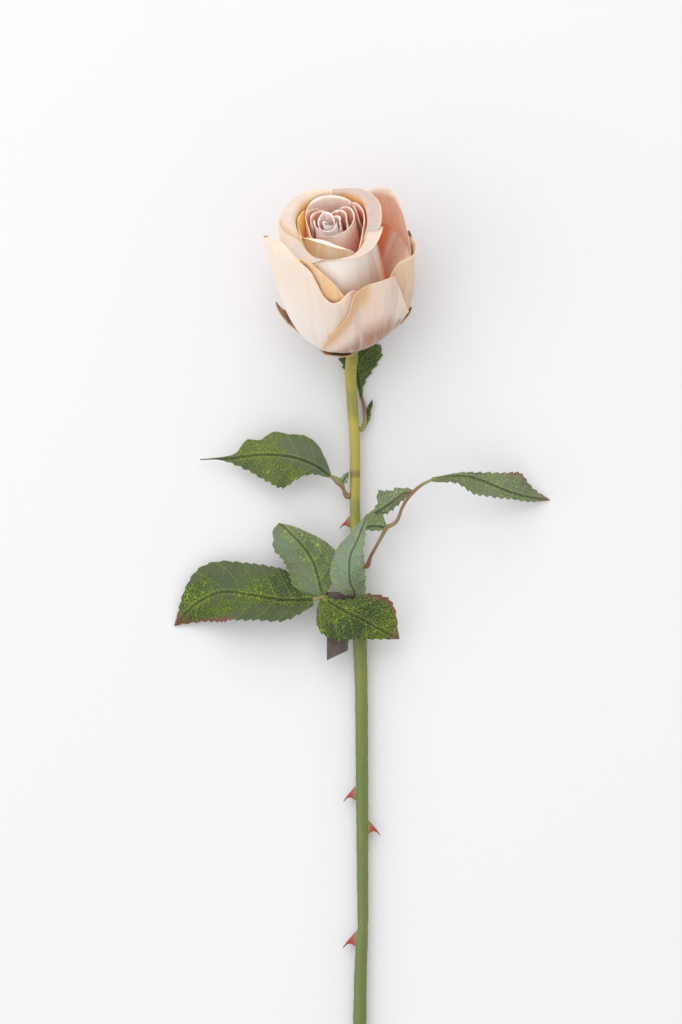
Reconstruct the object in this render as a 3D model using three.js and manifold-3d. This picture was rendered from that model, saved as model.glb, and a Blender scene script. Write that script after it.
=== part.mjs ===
// Cut rose, lying face up on a table: one half-open bloom, its calyx, a thorny stem with a slanted cut,
// four rose leaves and a blank label looped round a leaf stalk.
// Millimetres, +Z up. The stem runs along +Y towards the bloom, and the bloom's mouth looks up and along +Y.
// Points are written from the stem's cut end on the table, and the whole rose is then moved so that the
// origin is the middle of its footprint, on the table.
import * as THREE from "three";
import { mergeVertices } from "three/addons/utils/BufferGeometryUtils.js";
import Module from "manifold-3d";

// Driving dimensions
const NECK_GAP = 0.3; // between pieces that rest on each other
const PETAL_THICKNESS = 0.8;
const BLADE_THICKNESS = 0.6;
const SEPAL_THICKNESS = 0.8;
const BLOOM_BASE = new THREE.Vector3(-5.2, 427.5, 14.3); // middle of the bloom's seat on the calyx
const BLOOM_TILT = 43; // degrees that the bloom's axis rises from the table
const BLOOM_LEAN = 9; // degrees that it turns to the left of the stem
const HIP_HEIGHT = 10; // green cup between the stem and the petals
const STEM_TOP_RADIUS = 3.1;
const LABEL_WIDTH = 11;
const LABEL_THICKNESS = 0.6;

const wasm = await Module();
wasm.setup();

const radians = THREE.MathUtils.degToRad;
const lerp = THREE.MathUtils.lerp;
const clamp = THREE.MathUtils.clamp;
const smooth = THREE.MathUtils.smoothstep;
const vector = (p) => new THREE.Vector3(...p);

// Solids

function toManifold(geometry) {
  const bare = geometry.clone();
  bare.deleteAttribute("normal");
  bare.deleteAttribute("uv");
  const merged = mergeVertices(bare, 1e-4);
  return new wasm.Manifold(
    new wasm.Mesh({
      numProp: 3,
      vertProperties: merged.attributes.position.array,
      triVerts: new Uint32Array(merged.index.array),
    }),
  );
}

function toGeometry(manifold) {
  const mesh = manifold.getMesh();
  const geometry = new THREE.BufferGeometry();
  geometry.setAttribute("position", new THREE.BufferAttribute(new Float32Array(mesh.vertProperties), 3));
  geometry.setIndex(new THREE.BufferAttribute(new Uint32Array(mesh.triVerts), 1));
  return geometry;
}

// The outer shell alone: hollows that fusing sealed are filled, and loose scraps are dropped.
function outerShell(geometry) {
  const index = geometry.index.array;
  const position = geometry.attributes.position;
  const parent = Array.from({ length: position.count }, (_, i) => i);
  const root = (i) => {
    while (parent[i] !== i) {
      parent[i] = parent[parent[i]];
      i = parent[i];
    }
    return i;
  };
  for (let i = 0; i < index.length; i += 3) {
    parent[root(index[i])] = root(index[i + 1]);
    parent[root(index[i + 1])] = root(index[i + 2]);
  }
  const shells = new Map();
  const [a, b, c] = [new THREE.Vector3(), new THREE.Vector3(), new THREE.Vector3()];
  for (let i = 0; i < index.length; i += 3) {
    a.fromBufferAttribute(position, index[i]);
    b.fromBufferAttribute(position, index[i + 1]);
    c.fromBufferAttribute(position, index[i + 2]);
    const key = root(index[i]);
    const shell = shells.get(key) ?? { volume: 0, faces: [] };
    shell.volume += a.dot(b.cross(c)) / 6;
    shell.faces.push(index[i], index[i + 1], index[i + 2]);
    shells.set(key, shell);
  }
  const largest = [...shells.values()].reduce((x, y) => (y.volume > x.volume ? y : x));
  geometry.setIndex(largest.faces);
  return geometry;
}

function fuse(geometries, cutters = []) {
  let solid = toManifold(geometries[0]);
  for (const geometry of geometries.slice(1)) solid = solid.add(toManifold(geometry));
  for (const cutter of cutters) solid = solid.subtract(toManifold(cutter));
  return outerShell(toGeometry(solid));
}

// A closed sheet of even thickness round the surface at(u, v), on a grid of us by vs values.
function sheet(at, us, vs, thickness) {
  const rows = vs.length;
  const columns = us.length;
  const middle = vs.map((v) => us.map((u) => at(u, v)));
  const positions = [];
  for (const side of [1, -1]) {
    for (let j = 0; j < rows; j++) {
      for (let i = 0; i < columns; i++) {
        const along = middle[Math.min(j + 1, rows - 1)][i].clone().sub(middle[Math.max(j - 1, 0)][i]);
        const across = middle[j][Math.min(i + 1, columns - 1)].clone().sub(middle[j][Math.max(i - 1, 0)]);
        const normal = across.cross(along).normalize();
        positions.push(...middle[j][i].clone().addScaledVector(normal, (side * thickness) / 2));
      }
    }
  }
  const top = (i, j) => j * columns + i;
  const under = (i, j) => rows * columns + j * columns + i;
  const faces = [];
  for (let j = 0; j < rows - 1; j++) {
    for (let i = 0; i < columns - 1; i++) {
      faces.push(top(i, j), top(i + 1, j), top(i + 1, j + 1), top(i, j), top(i + 1, j + 1), top(i, j + 1));
      faces.push(under(i, j), under(i + 1, j + 1), under(i + 1, j));
      faces.push(under(i, j), under(i, j + 1), under(i + 1, j + 1));
    }
  }
  const rim = [];
  for (let i = 0; i < columns - 1; i++) rim.push([i, 0]);
  for (let j = 0; j < rows - 1; j++) rim.push([columns - 1, j]);
  for (let i = columns - 1; i > 0; i--) rim.push([i, rows - 1]);
  for (let j = rows - 1; j > 0; j--) rim.push([0, j]);
  rim.forEach((p, k) => {
    const q = rim[(k + 1) % rim.length];
    faces.push(top(...p), under(...p), under(...q), top(...p), under(...q), top(...q));
  });
  const geometry = new THREE.BufferGeometry();
  geometry.setAttribute("position", new THREE.Float32BufferAttribute(positions, 3));
  geometry.setIndex(faces);
  return geometry;
}

// A closed round rod along a smooth curve through the points, with its radius read along the way.
function rod(points, radii, sides, steps) {
  const curve = new THREE.CatmullRomCurve3(points.map(vector), false, "centripetal");
  const frames = curve.computeFrenetFrames(steps, false);
  const radius = (t) => {
    const place = t * (radii.length - 1);
    const k = Math.min(Math.floor(place), radii.length - 2);
    return lerp(radii[k], radii[k + 1], place - k);
  };
  const positions = [];
  for (let j = 0; j <= steps; j++) {
    const centre = curve.getPointAt(j / steps);
    for (let i = 0; i < sides; i++) {
      const turn = (2 * Math.PI * i) / sides;
      const out = frames.normals[j]
        .clone()
        .multiplyScalar(Math.cos(turn))
        .addScaledVector(frames.binormals[j], Math.sin(turn));
      positions.push(...centre.clone().addScaledVector(out, radius(j / steps)));
    }
  }
  return ringSolid(positions, sides, steps + 1);
}

// Rings of points joined into one closed body with flat ends.
function ringSolid(positions, sides, rings) {
  const faces = [];
  const at = (i, j) => j * sides + (i % sides);
  for (let j = 0; j < rings - 1; j++) {
    for (let i = 0; i < sides; i++) {
      faces.push(at(i, j), at(i + 1, j), at(i + 1, j + 1), at(i, j), at(i + 1, j + 1), at(i, j + 1));
    }
  }
  for (let i = 1; i < sides - 1; i++) {
    faces.push(at(0, 0), at(i + 1, 0), at(i, 0));
    faces.push(at(0, rings - 1), at(i, rings - 1), at(i + 1, rings - 1));
  }
  const geometry = new THREE.BufferGeometry();
  geometry.setAttribute("position", new THREE.Float32BufferAttribute(positions, 3));
  geometry.setIndex(faces);
  return geometry;
}

const evenly = (from, to, count) => Array.from({ length: count + 1 }, (_, i) => lerp(from, to, i / count));

// Everything below the table, in the frame of the piece that it trims
function belowTable(frame = new THREE.Matrix4()) {
  const depth = 50;
  const slab = new THREE.BoxGeometry(400, 1200, depth).translate(0, 200, -depth / 2);
  return slab.applyMatrix4(frame.clone().invert());
}

// Bloom frame: X to the right, Y up the bloom's axis, Z to its front
function bloomFrame() {
  const tilt = radians(BLOOM_TILT);
  const lean = radians(BLOOM_LEAN);
  const right = new THREE.Vector3(Math.cos(lean), Math.sin(lean), 0);
  const up = new THREE.Vector3(
    -Math.sin(lean) * Math.cos(tilt),
    Math.cos(lean) * Math.cos(tilt),
    Math.sin(tilt),
  );
  const front = right.clone().cross(up);
  return new THREE.Matrix4().makeBasis(right, up, front).setPosition(BLOOM_BASE);
}

// Walls of the outer petals: a cubic curve of (radius, height) points that starts at the petals' seat.
const PETAL_SEAT = [5.5, 1.5];
const OUTER = [[32.5, 1.5], [30, 27], [34.4, 75]];
const RIGHT = [[31.5, 1.5], [36.5, 22], [38.5, 52]];
const BACK = [[39.5, 1.5], [38, 27], [32, 70]];
const HEART = [-2.5, -4.4]; // how far the heart's petals slide to the right and to the front

// Petals. Azimuths are in degrees round the bloom's axis: 0 is the front, 90 the right and 180 the back.
// body: the wall that the petal follows, and left: the wall that its left edge follows instead.
// rim: places along the petal's edge from left to right, each with the azimuth, the height and radius of
// the fold there, the length of the lip past the fold, and the slope that the lip reaches (90 is level).
// roll: radius of the fold. narrow: share of its width that the petal has lost at the seat.
// slide: how far its top moves to the right and to the front.
const PETALS = [
  { // left
    body: OUTER, roll: 4, narrow: 0.2,
    rim: [
      [-122, 40, 32, 1, 30], [-108, 60, 32.5, 2, 40], [-94, 71, 34, 1, 30], [-84, 75, 35, 1, 40],
      [-74, 79, 33, 1, 40], [-61, 80, 30.5, 1, 40], [-46, 76.5, 30.5, 1, 40], [-36, 73.5, 31, 1, 30],
      [-28, 69.5, 31, 1, 30], [-23, 62, 31.2, 1, 30], [-18.5, 53.5, 31.2, 1, 30],
      [-12, 48.8, 31.2, 1, 30], [-4, 49.8, 31.2, 1, 30], [4, 54, 31.2, 1, 30], [12, 54, 31, 1, 30],
      [17, 44, 30.6, 1, 30], [19, 32, 30, 1, 30],
    ],
  },
  { // front right
    body: OUTER, roll: 3, narrow: 0.25,
    rim: [
      [-30, 16, 29.8, 1, 40], [-14, 29, 31.8, 1.5, 50], [1, 41.5, 33.4, 2.5, 70], [5, 49, 34, 3, 75],
      [10, 55, 34, 2.5, 60], [21, 57.5, 34, 2, 50], [32, 57, 34.8, 1.5, 40], [41, 56, 35.2, 1, 30],
      [47, 54, 35.2, 1, 30], [51, 46, 34.8, 1, 30], [56, 34, 34, 1, 30], [62, 22, 33, 1, 30],
    ],
  },
  { // right
    body: RIGHT, left: [[31, 1.5], [30, 27], [32.5, 60]], roll: 5, narrow: 0.15,
    rim: [
      [38, 48, 33.5, 1, 30], [48, 55, 34, 1.5, 40], [56, 57.5, 34.8, 2.5, 60], [64, 55.5, 36, 3, 70],
      [76, 51.5, 38, 3, 70], [90, 48, 38.6, 3, 70], [101, 47.5, 38, 2, 60], [112, 46, 37, 1, 40],
      [124, 38, 35.5, 1, 30],
    ],
  },
  { // tall, back right
    body: [[36, 1.5], [36, 27], [34.5, 75]], roll: 3, narrow: 0.2,
    rim: [
      [84, 40, 35.5, 1, 30], [94, 48, 36.2, 1, 30], [99, 57, 36.3, 1, 30], [102, 66, 36, 1.5, 40],
      [108, 70, 35.6, 2.5, 60], [117, 70.2, 34.8, 4, 85], [125, 69.5, 33.8, 5, 90], [133, 68, 32.8, 5, 90],
      [141, 66, 31.5, 5, 80], [150, 64, 30.5, 5, 70], [165, 61, 30, 4, 60],
    ],
  },
  { // back
    body: BACK, roll: 5, narrow: 0.2,
    rim: [
      [135, 48, 33, 2, 40], [150, 59, 32, 3, 50], [166, 63, 31.5, 4, 60], [182, 63.5, 31.5, 4, 60],
      [198, 61, 32, 3, 50], [212, 50, 33, 2, 40],
    ],
  },
  { // back left
    body: [[33, 1.5], [30, 27], [30, 70]], roll: 5, narrow: 0.2,
    rim: [
      [-176, 46, 30, 2, 40], [-162, 58, 30, 3, 50], [-148, 63, 29.5, 3, 60], [-134, 64, 29, 3, 60],
      [-120, 61, 29, 2, 50], [-108, 52, 29.5, 1, 40], [-98, 40, 29.5, 1, 30],
    ],
  },
  { // between the left and the front petal
    body: [[30.5, 1.5], [29, 27], [29.6, 74]], roll: 3, narrow: 0.2,
    rim: [
      [-70, 60, 29.3, 1, 30], [-52, 70, 29.3, 1, 30], [-38, 74, 29.3, 1, 30], [-28, 73.5, 29.4, 1, 30],
      [-19, 68.5, 29.5, 1.2, 40], [-8, 60, 29.6, 1.2, 40], [0, 51.5, 29.8, 1.2, 40], [8, 42, 30, 1, 30],
      [18, 32, 29.5, 1, 30],
    ],
  },
  { // third layer, left
    body: [[29, 2], [27, 30], [19, 77]], roll: 2.2, narrow: 0,
    rim: [
      [-188, 72.5, 22.5, 3, 85], [-172, 74.5, 22, 4, 88], [-154, 75.5, 21, 5.5, 90],
      [-134, 76, 19.8, 7, 92], [-110, 76, 18.6, 9.5, 96], [-86, 76, 18.2, 11.5, 105],
      [-66, 74.5, 19, 11.5, 105], [-49, 72, 20.6, 10.5, 103], [-36, 71.3, 22, 9, 100],
      [-27, 71, 22.8, 6.5, 98], [-18, 70.5, 23, 3.5, 95], [-8, 69.5, 22.8, 1.2, 70],
    ],
  },
  { // third layer, front right
    left: [[29, 2], [28.5, 30], [24, 72]], body: [[24, 2], [23, 30], [19, 72]],
    roll: 2.2, narrow: 0.1,
    rim: [
      [-36, 62, 28.6, 0.6, 40], [-31, 71, 29, 0.8, 60], [-25, 72, 27.8, 1, 80],
      [-14, 72.6, 25.8, 1.8, 90], [2, 71.6, 24.2, 3, 95], [18, 70.2, 23, 5, 98], [34, 70, 21.2, 7, 98],
      [48, 70.6, 19.6, 8.5, 97], [61, 71.6, 18.5, 9, 96], [72, 71.8, 18.4, 8.5, 95],
      [79, 69, 19, 6.5, 90], [80, 64, 19.8, 2.5, 60],
      [77, 56, 20.2, 1, 30], [72, 45, 20.4, 1, 30], [66, 34, 20, 1, 30],
    ],
  },
  { // third layer, back right
    left: [[22, 2], [21, 30], [16.5, 72]], body: [[25.5, 2], [24, 30], [18, 75]],
    roll: 2.2, narrow: 0,
    rim: [
      [46, 62, 17, 0.8, 30], [58, 70, 17, 5, 85], [70, 73, 17.4, 8.5, 93], [84, 75, 17.8, 9, 93],
      [98, 76.2, 18.2, 8.8, 90], [114, 76.3, 18.9, 7.6, 88], [134, 76, 20.3, 6, 85],
      [156, 74.5, 21.8, 4, 85], [174, 73.5, 22.8, 3, 85],
    ],
  },
  { // second layer, left
    body: [[21, 2], [18, 30], [12, 74]], roll: 2, narrow: 0,
    rim: [
      [-176, 66, 19, 0.8, 30], [-156, 70.5, 18.4, 1, 40], [-136, 72.5, 16.6, 1, 40],
      [-118, 72.5, 14.4, 1, 40], [-98, 71.6, 12.4, 1, 40], [-76, 70.5, 11.6, 1, 40], [-52, 68, 11.5, 0.8, 30],
    ],
  },
  { // second layer, front
    body: [[25, 2], [23, 30], [15, 74]], roll: 2, narrow: 0,
    rim: [
      [-94, 68.5, 18, 0.8, 40], [-80, 70, 16.6, 2, 80], [-64, 71.2, 13.4, 3.5, 95],
      [-42, 72, 11.8, 4.8, 98], [-18, 72, 12.4, 4.8, 98], [4, 71.2, 14.8, 4.4, 98],
      [18, 70, 17.8, 3, 95], [29, 67, 20.2, 1, 50],
    ],
  },
  { // second layer, right
    body: [[25, 2], [23, 30], [16.5, 74]], roll: 2, narrow: 0,
    rim: [
      [22, 62, 19, 0.8, 20], [38, 68, 17.8, 0.8, 30], [54, 71, 16.6, 1, 30], [72, 73, 15.8, 1.2, 40],
      [92, 74.4, 15.8, 1.2, 40], [112, 75, 16.8, 1.2, 40], [132, 74.8, 17.6, 1, 40], [148, 72, 17.6, 1, 30],
    ],
  },
  { // second layer, back
    body: [[24, 2], [22, 30], [18.5, 77]], roll: 2.5, narrow: 0,
    rim: [
      [108, 67.5, 14.4, 0.8, 20], [126, 71.3, 15.8, 0.8, 30], [148, 73.6, 18, 1.4, 40],
      [172, 74.6, 19, 1.8, 50], [196, 74.8, 19, 1.8, 50], [216, 74.4, 17.8, 1.4, 40],
      [238, 72.6, 15.4, 1, 30],
    ],
  },
  { // first layer, front right
    body: [[17, 2], [15, 30], [10.5, 72]], roll: 2, slide: HEART,
    rim: [
      [-62, 66.5, 7.6, 0.8, 30], [-34, 68.4, 8, 1.2, 50], [-8, 69.2, 8.4, 1.5, 60], [18, 69.2, 9, 1.5, 60],
      [42, 69.2, 10, 1.4, 60], [62, 70.2, 11.8, 1.2, 50], [80, 72.2, 13.2, 1, 40], [100, 73.8, 13.4, 1, 40],
      [120, 73.8, 12.8, 1, 40], [140, 71.5, 12, 0.8, 30],
    ],
  },
  { // first layer, right
    body: [[15, 2], [13, 30], [9, 72]], roll: 2, slide: HEART,
    rim: [
      [48, 65, 10.2, 0.8, 30], [66, 69.5, 10.4, 1, 40], [84, 72, 9.9, 1, 50], [104, 73.3, 9.6, 1.2, 50],
      [124, 73.6, 8.8, 1.2, 50], [144, 72.4, 7.6, 1, 40], [164, 70, 6.8, 0.8, 30],
    ],
  },
  { // first layer, back left
    body: [[15, 2], [13, 30], [8, 72]], roll: 2, slide: HEART,
    rim: [
      [152, 68, 6.4, 0.8, 30], [178, 71.5, 7, 1, 40], [204, 73, 7.8, 1.2, 50], [230, 73.4, 8.2, 1.2, 50],
      [254, 72.6, 8, 1, 40], [278, 70, 7.6, 0.8, 30],
    ],
  },
  { // heart, pale front
    body: [[10, 2], [9, 30], [5.4, 70]], roll: 1.5, slide: HEART,
    rim: [
      [-112, 72, 6.6, 0.8, 30], [-88, 73, 6.4, 1, 50], [-58, 71.4, 5.8, 1.6, 70], [-24, 69.8, 5, 2, 80],
      [12, 69.6, 4.8, 2, 80], [46, 70.6, 5, 1.6, 70], [76, 71.5, 5, 0.8, 30],
    ],
  },
  { // heart, right
    body: [[10, 2], [9, 30], [6.2, 72]], roll: 1.5, slide: HEART,
    rim: [
      [40, 66, 6.4, 0.6, 30], [62, 69.5, 6.6, 1, 50], [84, 71.8, 6.5, 1.2, 60], [108, 72.6, 6, 1.2, 60],
      [130, 72, 5.2, 0.6, 30],
    ],
  },
  { // heart, white cup
    body: [[8, 2], [7, 30], [3.6, 71]], roll: 1.2, slide: HEART,
    rim: [
      [36, 69.4, 3.4, 0.5, 30], [84, 71, 3.8, 0.8, 50], [132, 73, 3.9, 1, 60], [180, 74.6, 3.7, 1, 60],
      [226, 73.6, 4.3, 1, 60], [268, 71.8, 4.4, 0.8, 50], [306, 70, 4, 0.5, 30],
    ],
  },
  { // innermost curl
    body: [[5, 2], [4, 30], [1.5, 70]], roll: 1, slide: HEART,
    rim: [
      [150, 69, 1.7, 0.4, 30], [215, 71, 1.7, 0.8, 60], [280, 71.6, 1.8, 1, 80], [345, 71, 1.9, 1, 80],
      [410, 70.2, 2.1, 0.8, 60], [470, 69, 2.2, 0.4, 30],
    ],
  },
];
const FOLD_SHARE = 0.78; // share of a petal's rows below the fold
const OUTER_PETALS = 7; // of the list, which have more points than the rest
const ROLLED_PETALS = 14; // of the list, whose lips need a point halfway, before the heart's petals

// A uniform Catmull-Rom spline through evenly spaced values, read at t from 0 to 1
function evenSpline(values, t) {
  const last = values.length - 1;
  const padded = [2 * values[0] - values[1], ...values, 2 * values[last] - values[last - 1]];
  const place = clamp(t, 0, 1) * last;
  const k = Math.min(Math.floor(place), last - 1);
  const f = place - k;
  const [a, b, c, d] = padded.slice(k, k + 4);
  const [square, cube] = [2 * a - 5 * b + 4 * c - d, 3 * b - a - 3 * c + d];
  return 0.5 * (2 * b + (c - a) * f + square * f ** 2 + cube * f ** 3);
}

// Radius, height and lean of a wall at a share of its curve
function onWall(wall, t) {
  const points = [PETAL_SEAT, ...wall];
  const s = 1 - t;
  const weights = [s ** 3, 3 * s * s * t, 3 * s * t * t, t ** 3];
  const slopes = [-3 * s * s, 3 * s * s - 6 * s * t, 6 * s * t - 3 * t * t, 3 * t * t];
  const sum = (w, k) => w.reduce((total, x, i) => total + x * points[i][k], 0);
  const lean = Math.atan2(sum(slopes, 0), sum(slopes, 1));
  return { radius: sum(weights, 0), height: sum(weights, 1), lean };
}

// The share of a wall's curve at which it reaches a height, found by halving
function shareAtHeight(wall, height) {
  let [low, high] = [0, 1.15];
  for (let i = 0; i < 24; i++) {
    const half = (low + high) / 2;
    if (onWall(wall, half).height < height) low = half;
    else high = half;
  }
  return low;
}

function petalPoint(p, u, v) {
  const onRim = (k) => evenSpline(p.rim.map((place) => place[k]), (u + 1) / 2);
  const [azimuth, top, reach, lip, slope] = [0, 1, 2, 3, 4].map(onRim);
  const climb = Math.min(v / FOLD_SHARE, 1);
  const onBody = smooth(u, -1, 0);
  let [radius, height, lean, spread] = [0, 0, 0, 0];
  for (const [wall, part] of [[p.body, onBody], [p.left ?? p.body, 1 - onBody]]) {
    const share = shareAtHeight(wall, top);
    const here = onWall(wall, share * climb);
    radius += part * here.radius;
    height += part * here.height;
    lean += part * here.lean;
    spread += part * (reach - onWall(wall, share).radius);
  }
  const up = clamp(height / top, 0, 1);
  radius += spread * up ** 2;
  lean += Math.atan2(2 * spread * up, top);
  // Past the fold the lip rolls over as far as its slope, then runs straight.
  const past = Math.max(0, (v - FOLD_SHARE) / (1 - FOLD_SHARE)) * lip;
  const turned = Math.min(lean + past / p.roll, Math.max(radians(slope), lean));
  const straight = past - (turned - lean) * p.roll;
  radius += p.roll * (Math.cos(lean) - Math.cos(turned)) + straight * Math.sin(turned);
  height += p.roll * (Math.sin(turned) - Math.sin(lean)) + straight * Math.cos(turned);
  const middle = (p.rim[0][0] + p.rim.at(-1)[0]) / 2;
  const angle = radians(middle + (azimuth - middle) * (1 - (p.narrow ?? 0) * (1 - up) ** 2));
  const [right, front] = p.slide ?? [0, 0];
  const [x, z] = [radius * Math.sin(angle), radius * Math.cos(angle)];
  return new THREE.Vector3(x + right * up, height, z + front * up);
}

// A closed heart that fills the middle of the bloom, where the innermost petals hide it
function core() {
  const profile = [[0, 0], [7.5, 0], [9, 3], [14, 12], [15.5, 34], [13, 50], [6, 58], [0, 60]];
  const middle = [-1.8, 0, -2.4];
  return new THREE.LatheGeometry(profile.map((p) => new THREE.Vector2(...p)), 12).translate(...middle);
}

function bloom(frame) {
  const sheets = PETALS.map((p, number) => {
    const outer = number < OUTER_PETALS;
    const across = evenly(-1, 1, outer ? 11 : 8);
    const rolled = number < ROLLED_PETALS;
    const below = evenly(0, FOLD_SHARE, outer ? 5 : rolled ? 3 : 2);
    const along = [...below, ...evenly(FOLD_SHARE, 1, rolled ? 2 : 1).slice(1)];
    return sheet((u, v) => petalPoint(p, u, v), across, along, PETAL_THICKNESS);
  });
  return fuse([core(), ...sheets], [belowTable(frame)]);
}

// Calyx: the green cup under the petals and its five sepals. wall: the petals' wall that a sepal follows.
// width: half its width near the base. open: how far its tip stands off.
const SEPALS = [
  { azimuth: -90, wall: OUTER, length: 41, width: 4.6, open: 2.4 },
  { azimuth: -24, wall: OUTER, length: 21, width: 9, open: 0.7 },
  { azimuth: 84, wall: RIGHT, length: 30, width: 4.2, open: 0.9 },
  { azimuth: 120, wall: RIGHT, length: 59, width: 4.4, open: 4 },
  { azimuth: -138, wall: BACK, length: 46, width: 4.2, open: 0.5 },
];
const SEPAL_CLEARANCE = 1.2; // from the petals' outside to a sepal's middle
const SEPAL_ROWS = 10;

// A wall's place at a length along it from the seat
function alongWall(wall, length) {
  const step = 0.002;
  let here = onWall(wall, 0);
  let gone = 0;
  for (let t = step; gone < length; t += step) {
    const next = onWall(wall, t);
    gone += Math.hypot(next.radius - here.radius, next.height - here.height);
    here = next;
  }
  return here;
}

// Where a sepal's middle surface would be if it lay on its wall, and the way out from there
function onGuide(s, u, v) {
  const { radius, height, lean } = alongWall(s.wall, s.length * v);
  const halfWidth = s.width * (0.5 + 1.2 * v) * Math.sqrt(1 - v) + 0.25;
  const azimuth = radians(s.azimuth) + (u * halfWidth) / Math.max(radius, 4);
  const [sine, cosine] = [Math.sin(azimuth), Math.cos(azimuth)];
  return {
    point: new THREE.Vector3(radius * sine, height, radius * cosine),
    out: new THREE.Vector3(Math.cos(lean) * sine, -Math.sin(lean), Math.cos(lean) * cosine),
  };
}

// How far outside the wall the petals reach, seen from outside
function petalReach(petals, point, out) {
  const far = 40;
  const ray = new THREE.Ray(point.clone().addScaledVector(out, far), out.clone().negate());
  const index = petals.index.array;
  const position = petals.attributes.position;
  const [a, b, c, hit] = [0, 1, 2, 3].map(() => new THREE.Vector3());
  let nearest = far + 6;
  for (let i = 0; i < index.length; i += 3) {
    a.fromBufferAttribute(position, index[i]);
    b.fromBufferAttribute(position, index[i + 1]);
    c.fromBufferAttribute(position, index[i + 2]);
    if (ray.intersectTriangle(a, b, c, false, hit)) nearest = Math.min(nearest, hit.distanceTo(ray.origin));
  }
  return far - nearest;
}

// A sepal lies just outside the petals and opens towards its tip.
function sepal(s, petals) {
  const along = evenly(0, 1, SEPAL_ROWS);
  const reach = along.map((v) => {
    const probes = [-1.2, 0, 1.2].map((u) => onGuide(s, u, v));
    return Math.max(...probes.map(({ point, out }) => petalReach(petals, point, out)));
  });
  const at = (u, v) => {
    const row = Math.round(v * SEPAL_ROWS);
    const clear = Math.max(reach[Math.max(row - 1, 0)], reach[row], reach[Math.min(row + 1, SEPAL_ROWS)]);
    const { point, out } = onGuide(s, u, v);
    return point.addScaledVector(out, clear + SEPAL_CLEARANCE + s.open * smooth(v, 0.55, 1));
  };
  return sheet(at, [-1, 0, 1], along, SEPAL_THICKNESS);
}

function calyx(frame, petals) {
  const widening = [[3.3, -HIP_HEIGHT], [4.4, -7], [6.6, -3.5], [8.3, -1.6], [8, -NECK_GAP]];
  const profile = [[0, -HIP_HEIGHT], ...widening, [0, -NECK_GAP]];
  const cup = new THREE.LatheGeometry(profile.map((p) => new THREE.Vector2(...p)), 16);
  return fuse([cup, ...SEPALS.map((s) => sepal(s, petals))], [belowTable(frame)]);
}

// Stem: centre line from the cut end to the neck, with the radius there
const STEM = [
  { at: [-0.6, 0, 3.45], radius: 3.4 },
  { at: [-0.1, 84, 3.9], radius: 3.3 },
  { at: [0.5, 113, 4.0], radius: 3.1 },
  { at: [1.45, 130.5, 4.1], radius: 2.65 },
  { at: [1.35, 148, 4.2], radius: 2.8 },
  { at: [1.1, 194.5, 4.5], radius: 3.1 },
  { at: [0.6, 252.5, 5.0], radius: 3.2 },
  { at: [0, 272, 5.2], radius: 3.5 },
  { at: [-0.1, 294, 5.3], radius: 3.1 },
  { at: [-0.75, 311.5, 5.4], radius: 2.9 },
  { at: [-2.15, 329.5, 5.6], radius: 2.7 },
  { at: [-2.6, 343.5, 5.7], radius: 2.55 },
  { at: [-2.5, 370.5, 5.8], radius: 2.6 },
  { at: [-3.85, 393, 5.9], radius: 2.75 },
  { at: [-4.6, 408, 5.8], radius: 2.9 },
];
const NECK_BEND = 2.5; // length of the straight neck below the calyx
const NECK_START = 384; // mm from the cut end, where the stem's rings draw closer
const STEM_SIDES = 12;
const CUT_SLANT = 35; // degrees
const CUT_MIDDLE = { y: 3, z: 3.4 };
const THORNS = [
  { y: 333, side: "left", size: 0.85 },
  { y: 197, side: "left", size: 1 },
  { y: 180, side: "right", size: 0.95 },
  { y: 124, side: "left", size: 1.1 },
  { y: 52, side: "right", size: 1 },
];
const THORN_FOOT = 4.4; // half the length of a thorn's foot on the bark
// Rings of a thorn: out from the bark, half length, half width, and lean towards the cut end
const THORN_RINGS = [
  { out: 0.8, length: 3.2, width: 1.25, lean: 0 },
  { out: 2.6, length: 1.5, width: 0.8, lean: 0.5 },
  { out: 4.4, length: 0.7, width: 0.5, lean: 1.7 },
  { out: 6.2, length: 0.35, width: 0.35, lean: 4 },
];

function neckPoints(frame) {
  const up = new THREE.Vector3().setFromMatrixColumn(frame, 1);
  const top = BLOOM_BASE.clone().addScaledVector(up, -HIP_HEIGHT - NECK_GAP);
  const below = top.clone().addScaledVector(up, -NECK_BEND);
  return [below.toArray(), top.toArray()];
}

// The stem's middle and radius at a height along it
function stemAt(y) {
  const lower = STEM.findLast((s) => s.at[1] <= y);
  const upper = STEM.find((s) => s.at[1] > y);
  const share = (y - lower.at[1]) / (upper.at[1] - lower.at[1]);
  return {
    centre: vector(lower.at).lerp(vector(upper.at), share),
    radius: lerp(lower.radius, upper.radius, share),
  };
}

// The way out from the stem: 0 degrees is to the right, 90 up from the table.
const outFromStem = (turn) => new THREE.Vector3(Math.cos(radians(turn)), 0, Math.sin(radians(turn)));

// Places along the stem for its rings: even ones, with two at each thorn's foot in place of those near it
function ringPlaces(top) {
  const even = [...evenly(0, NECK_START, 28), ...evenly(NECK_START, top, 7).slice(1)];
  const feet = THORNS.map(({ y, size }) => [y - THORN_FOOT * size, y + THORN_FOOT * size]);
  const clear = even.filter((y) => feet.every(([from, to]) => y < from - 3 || y > to + 3));
  return [...clear, ...feet.flat()].sort((a, b) => a - b);
}

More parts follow.
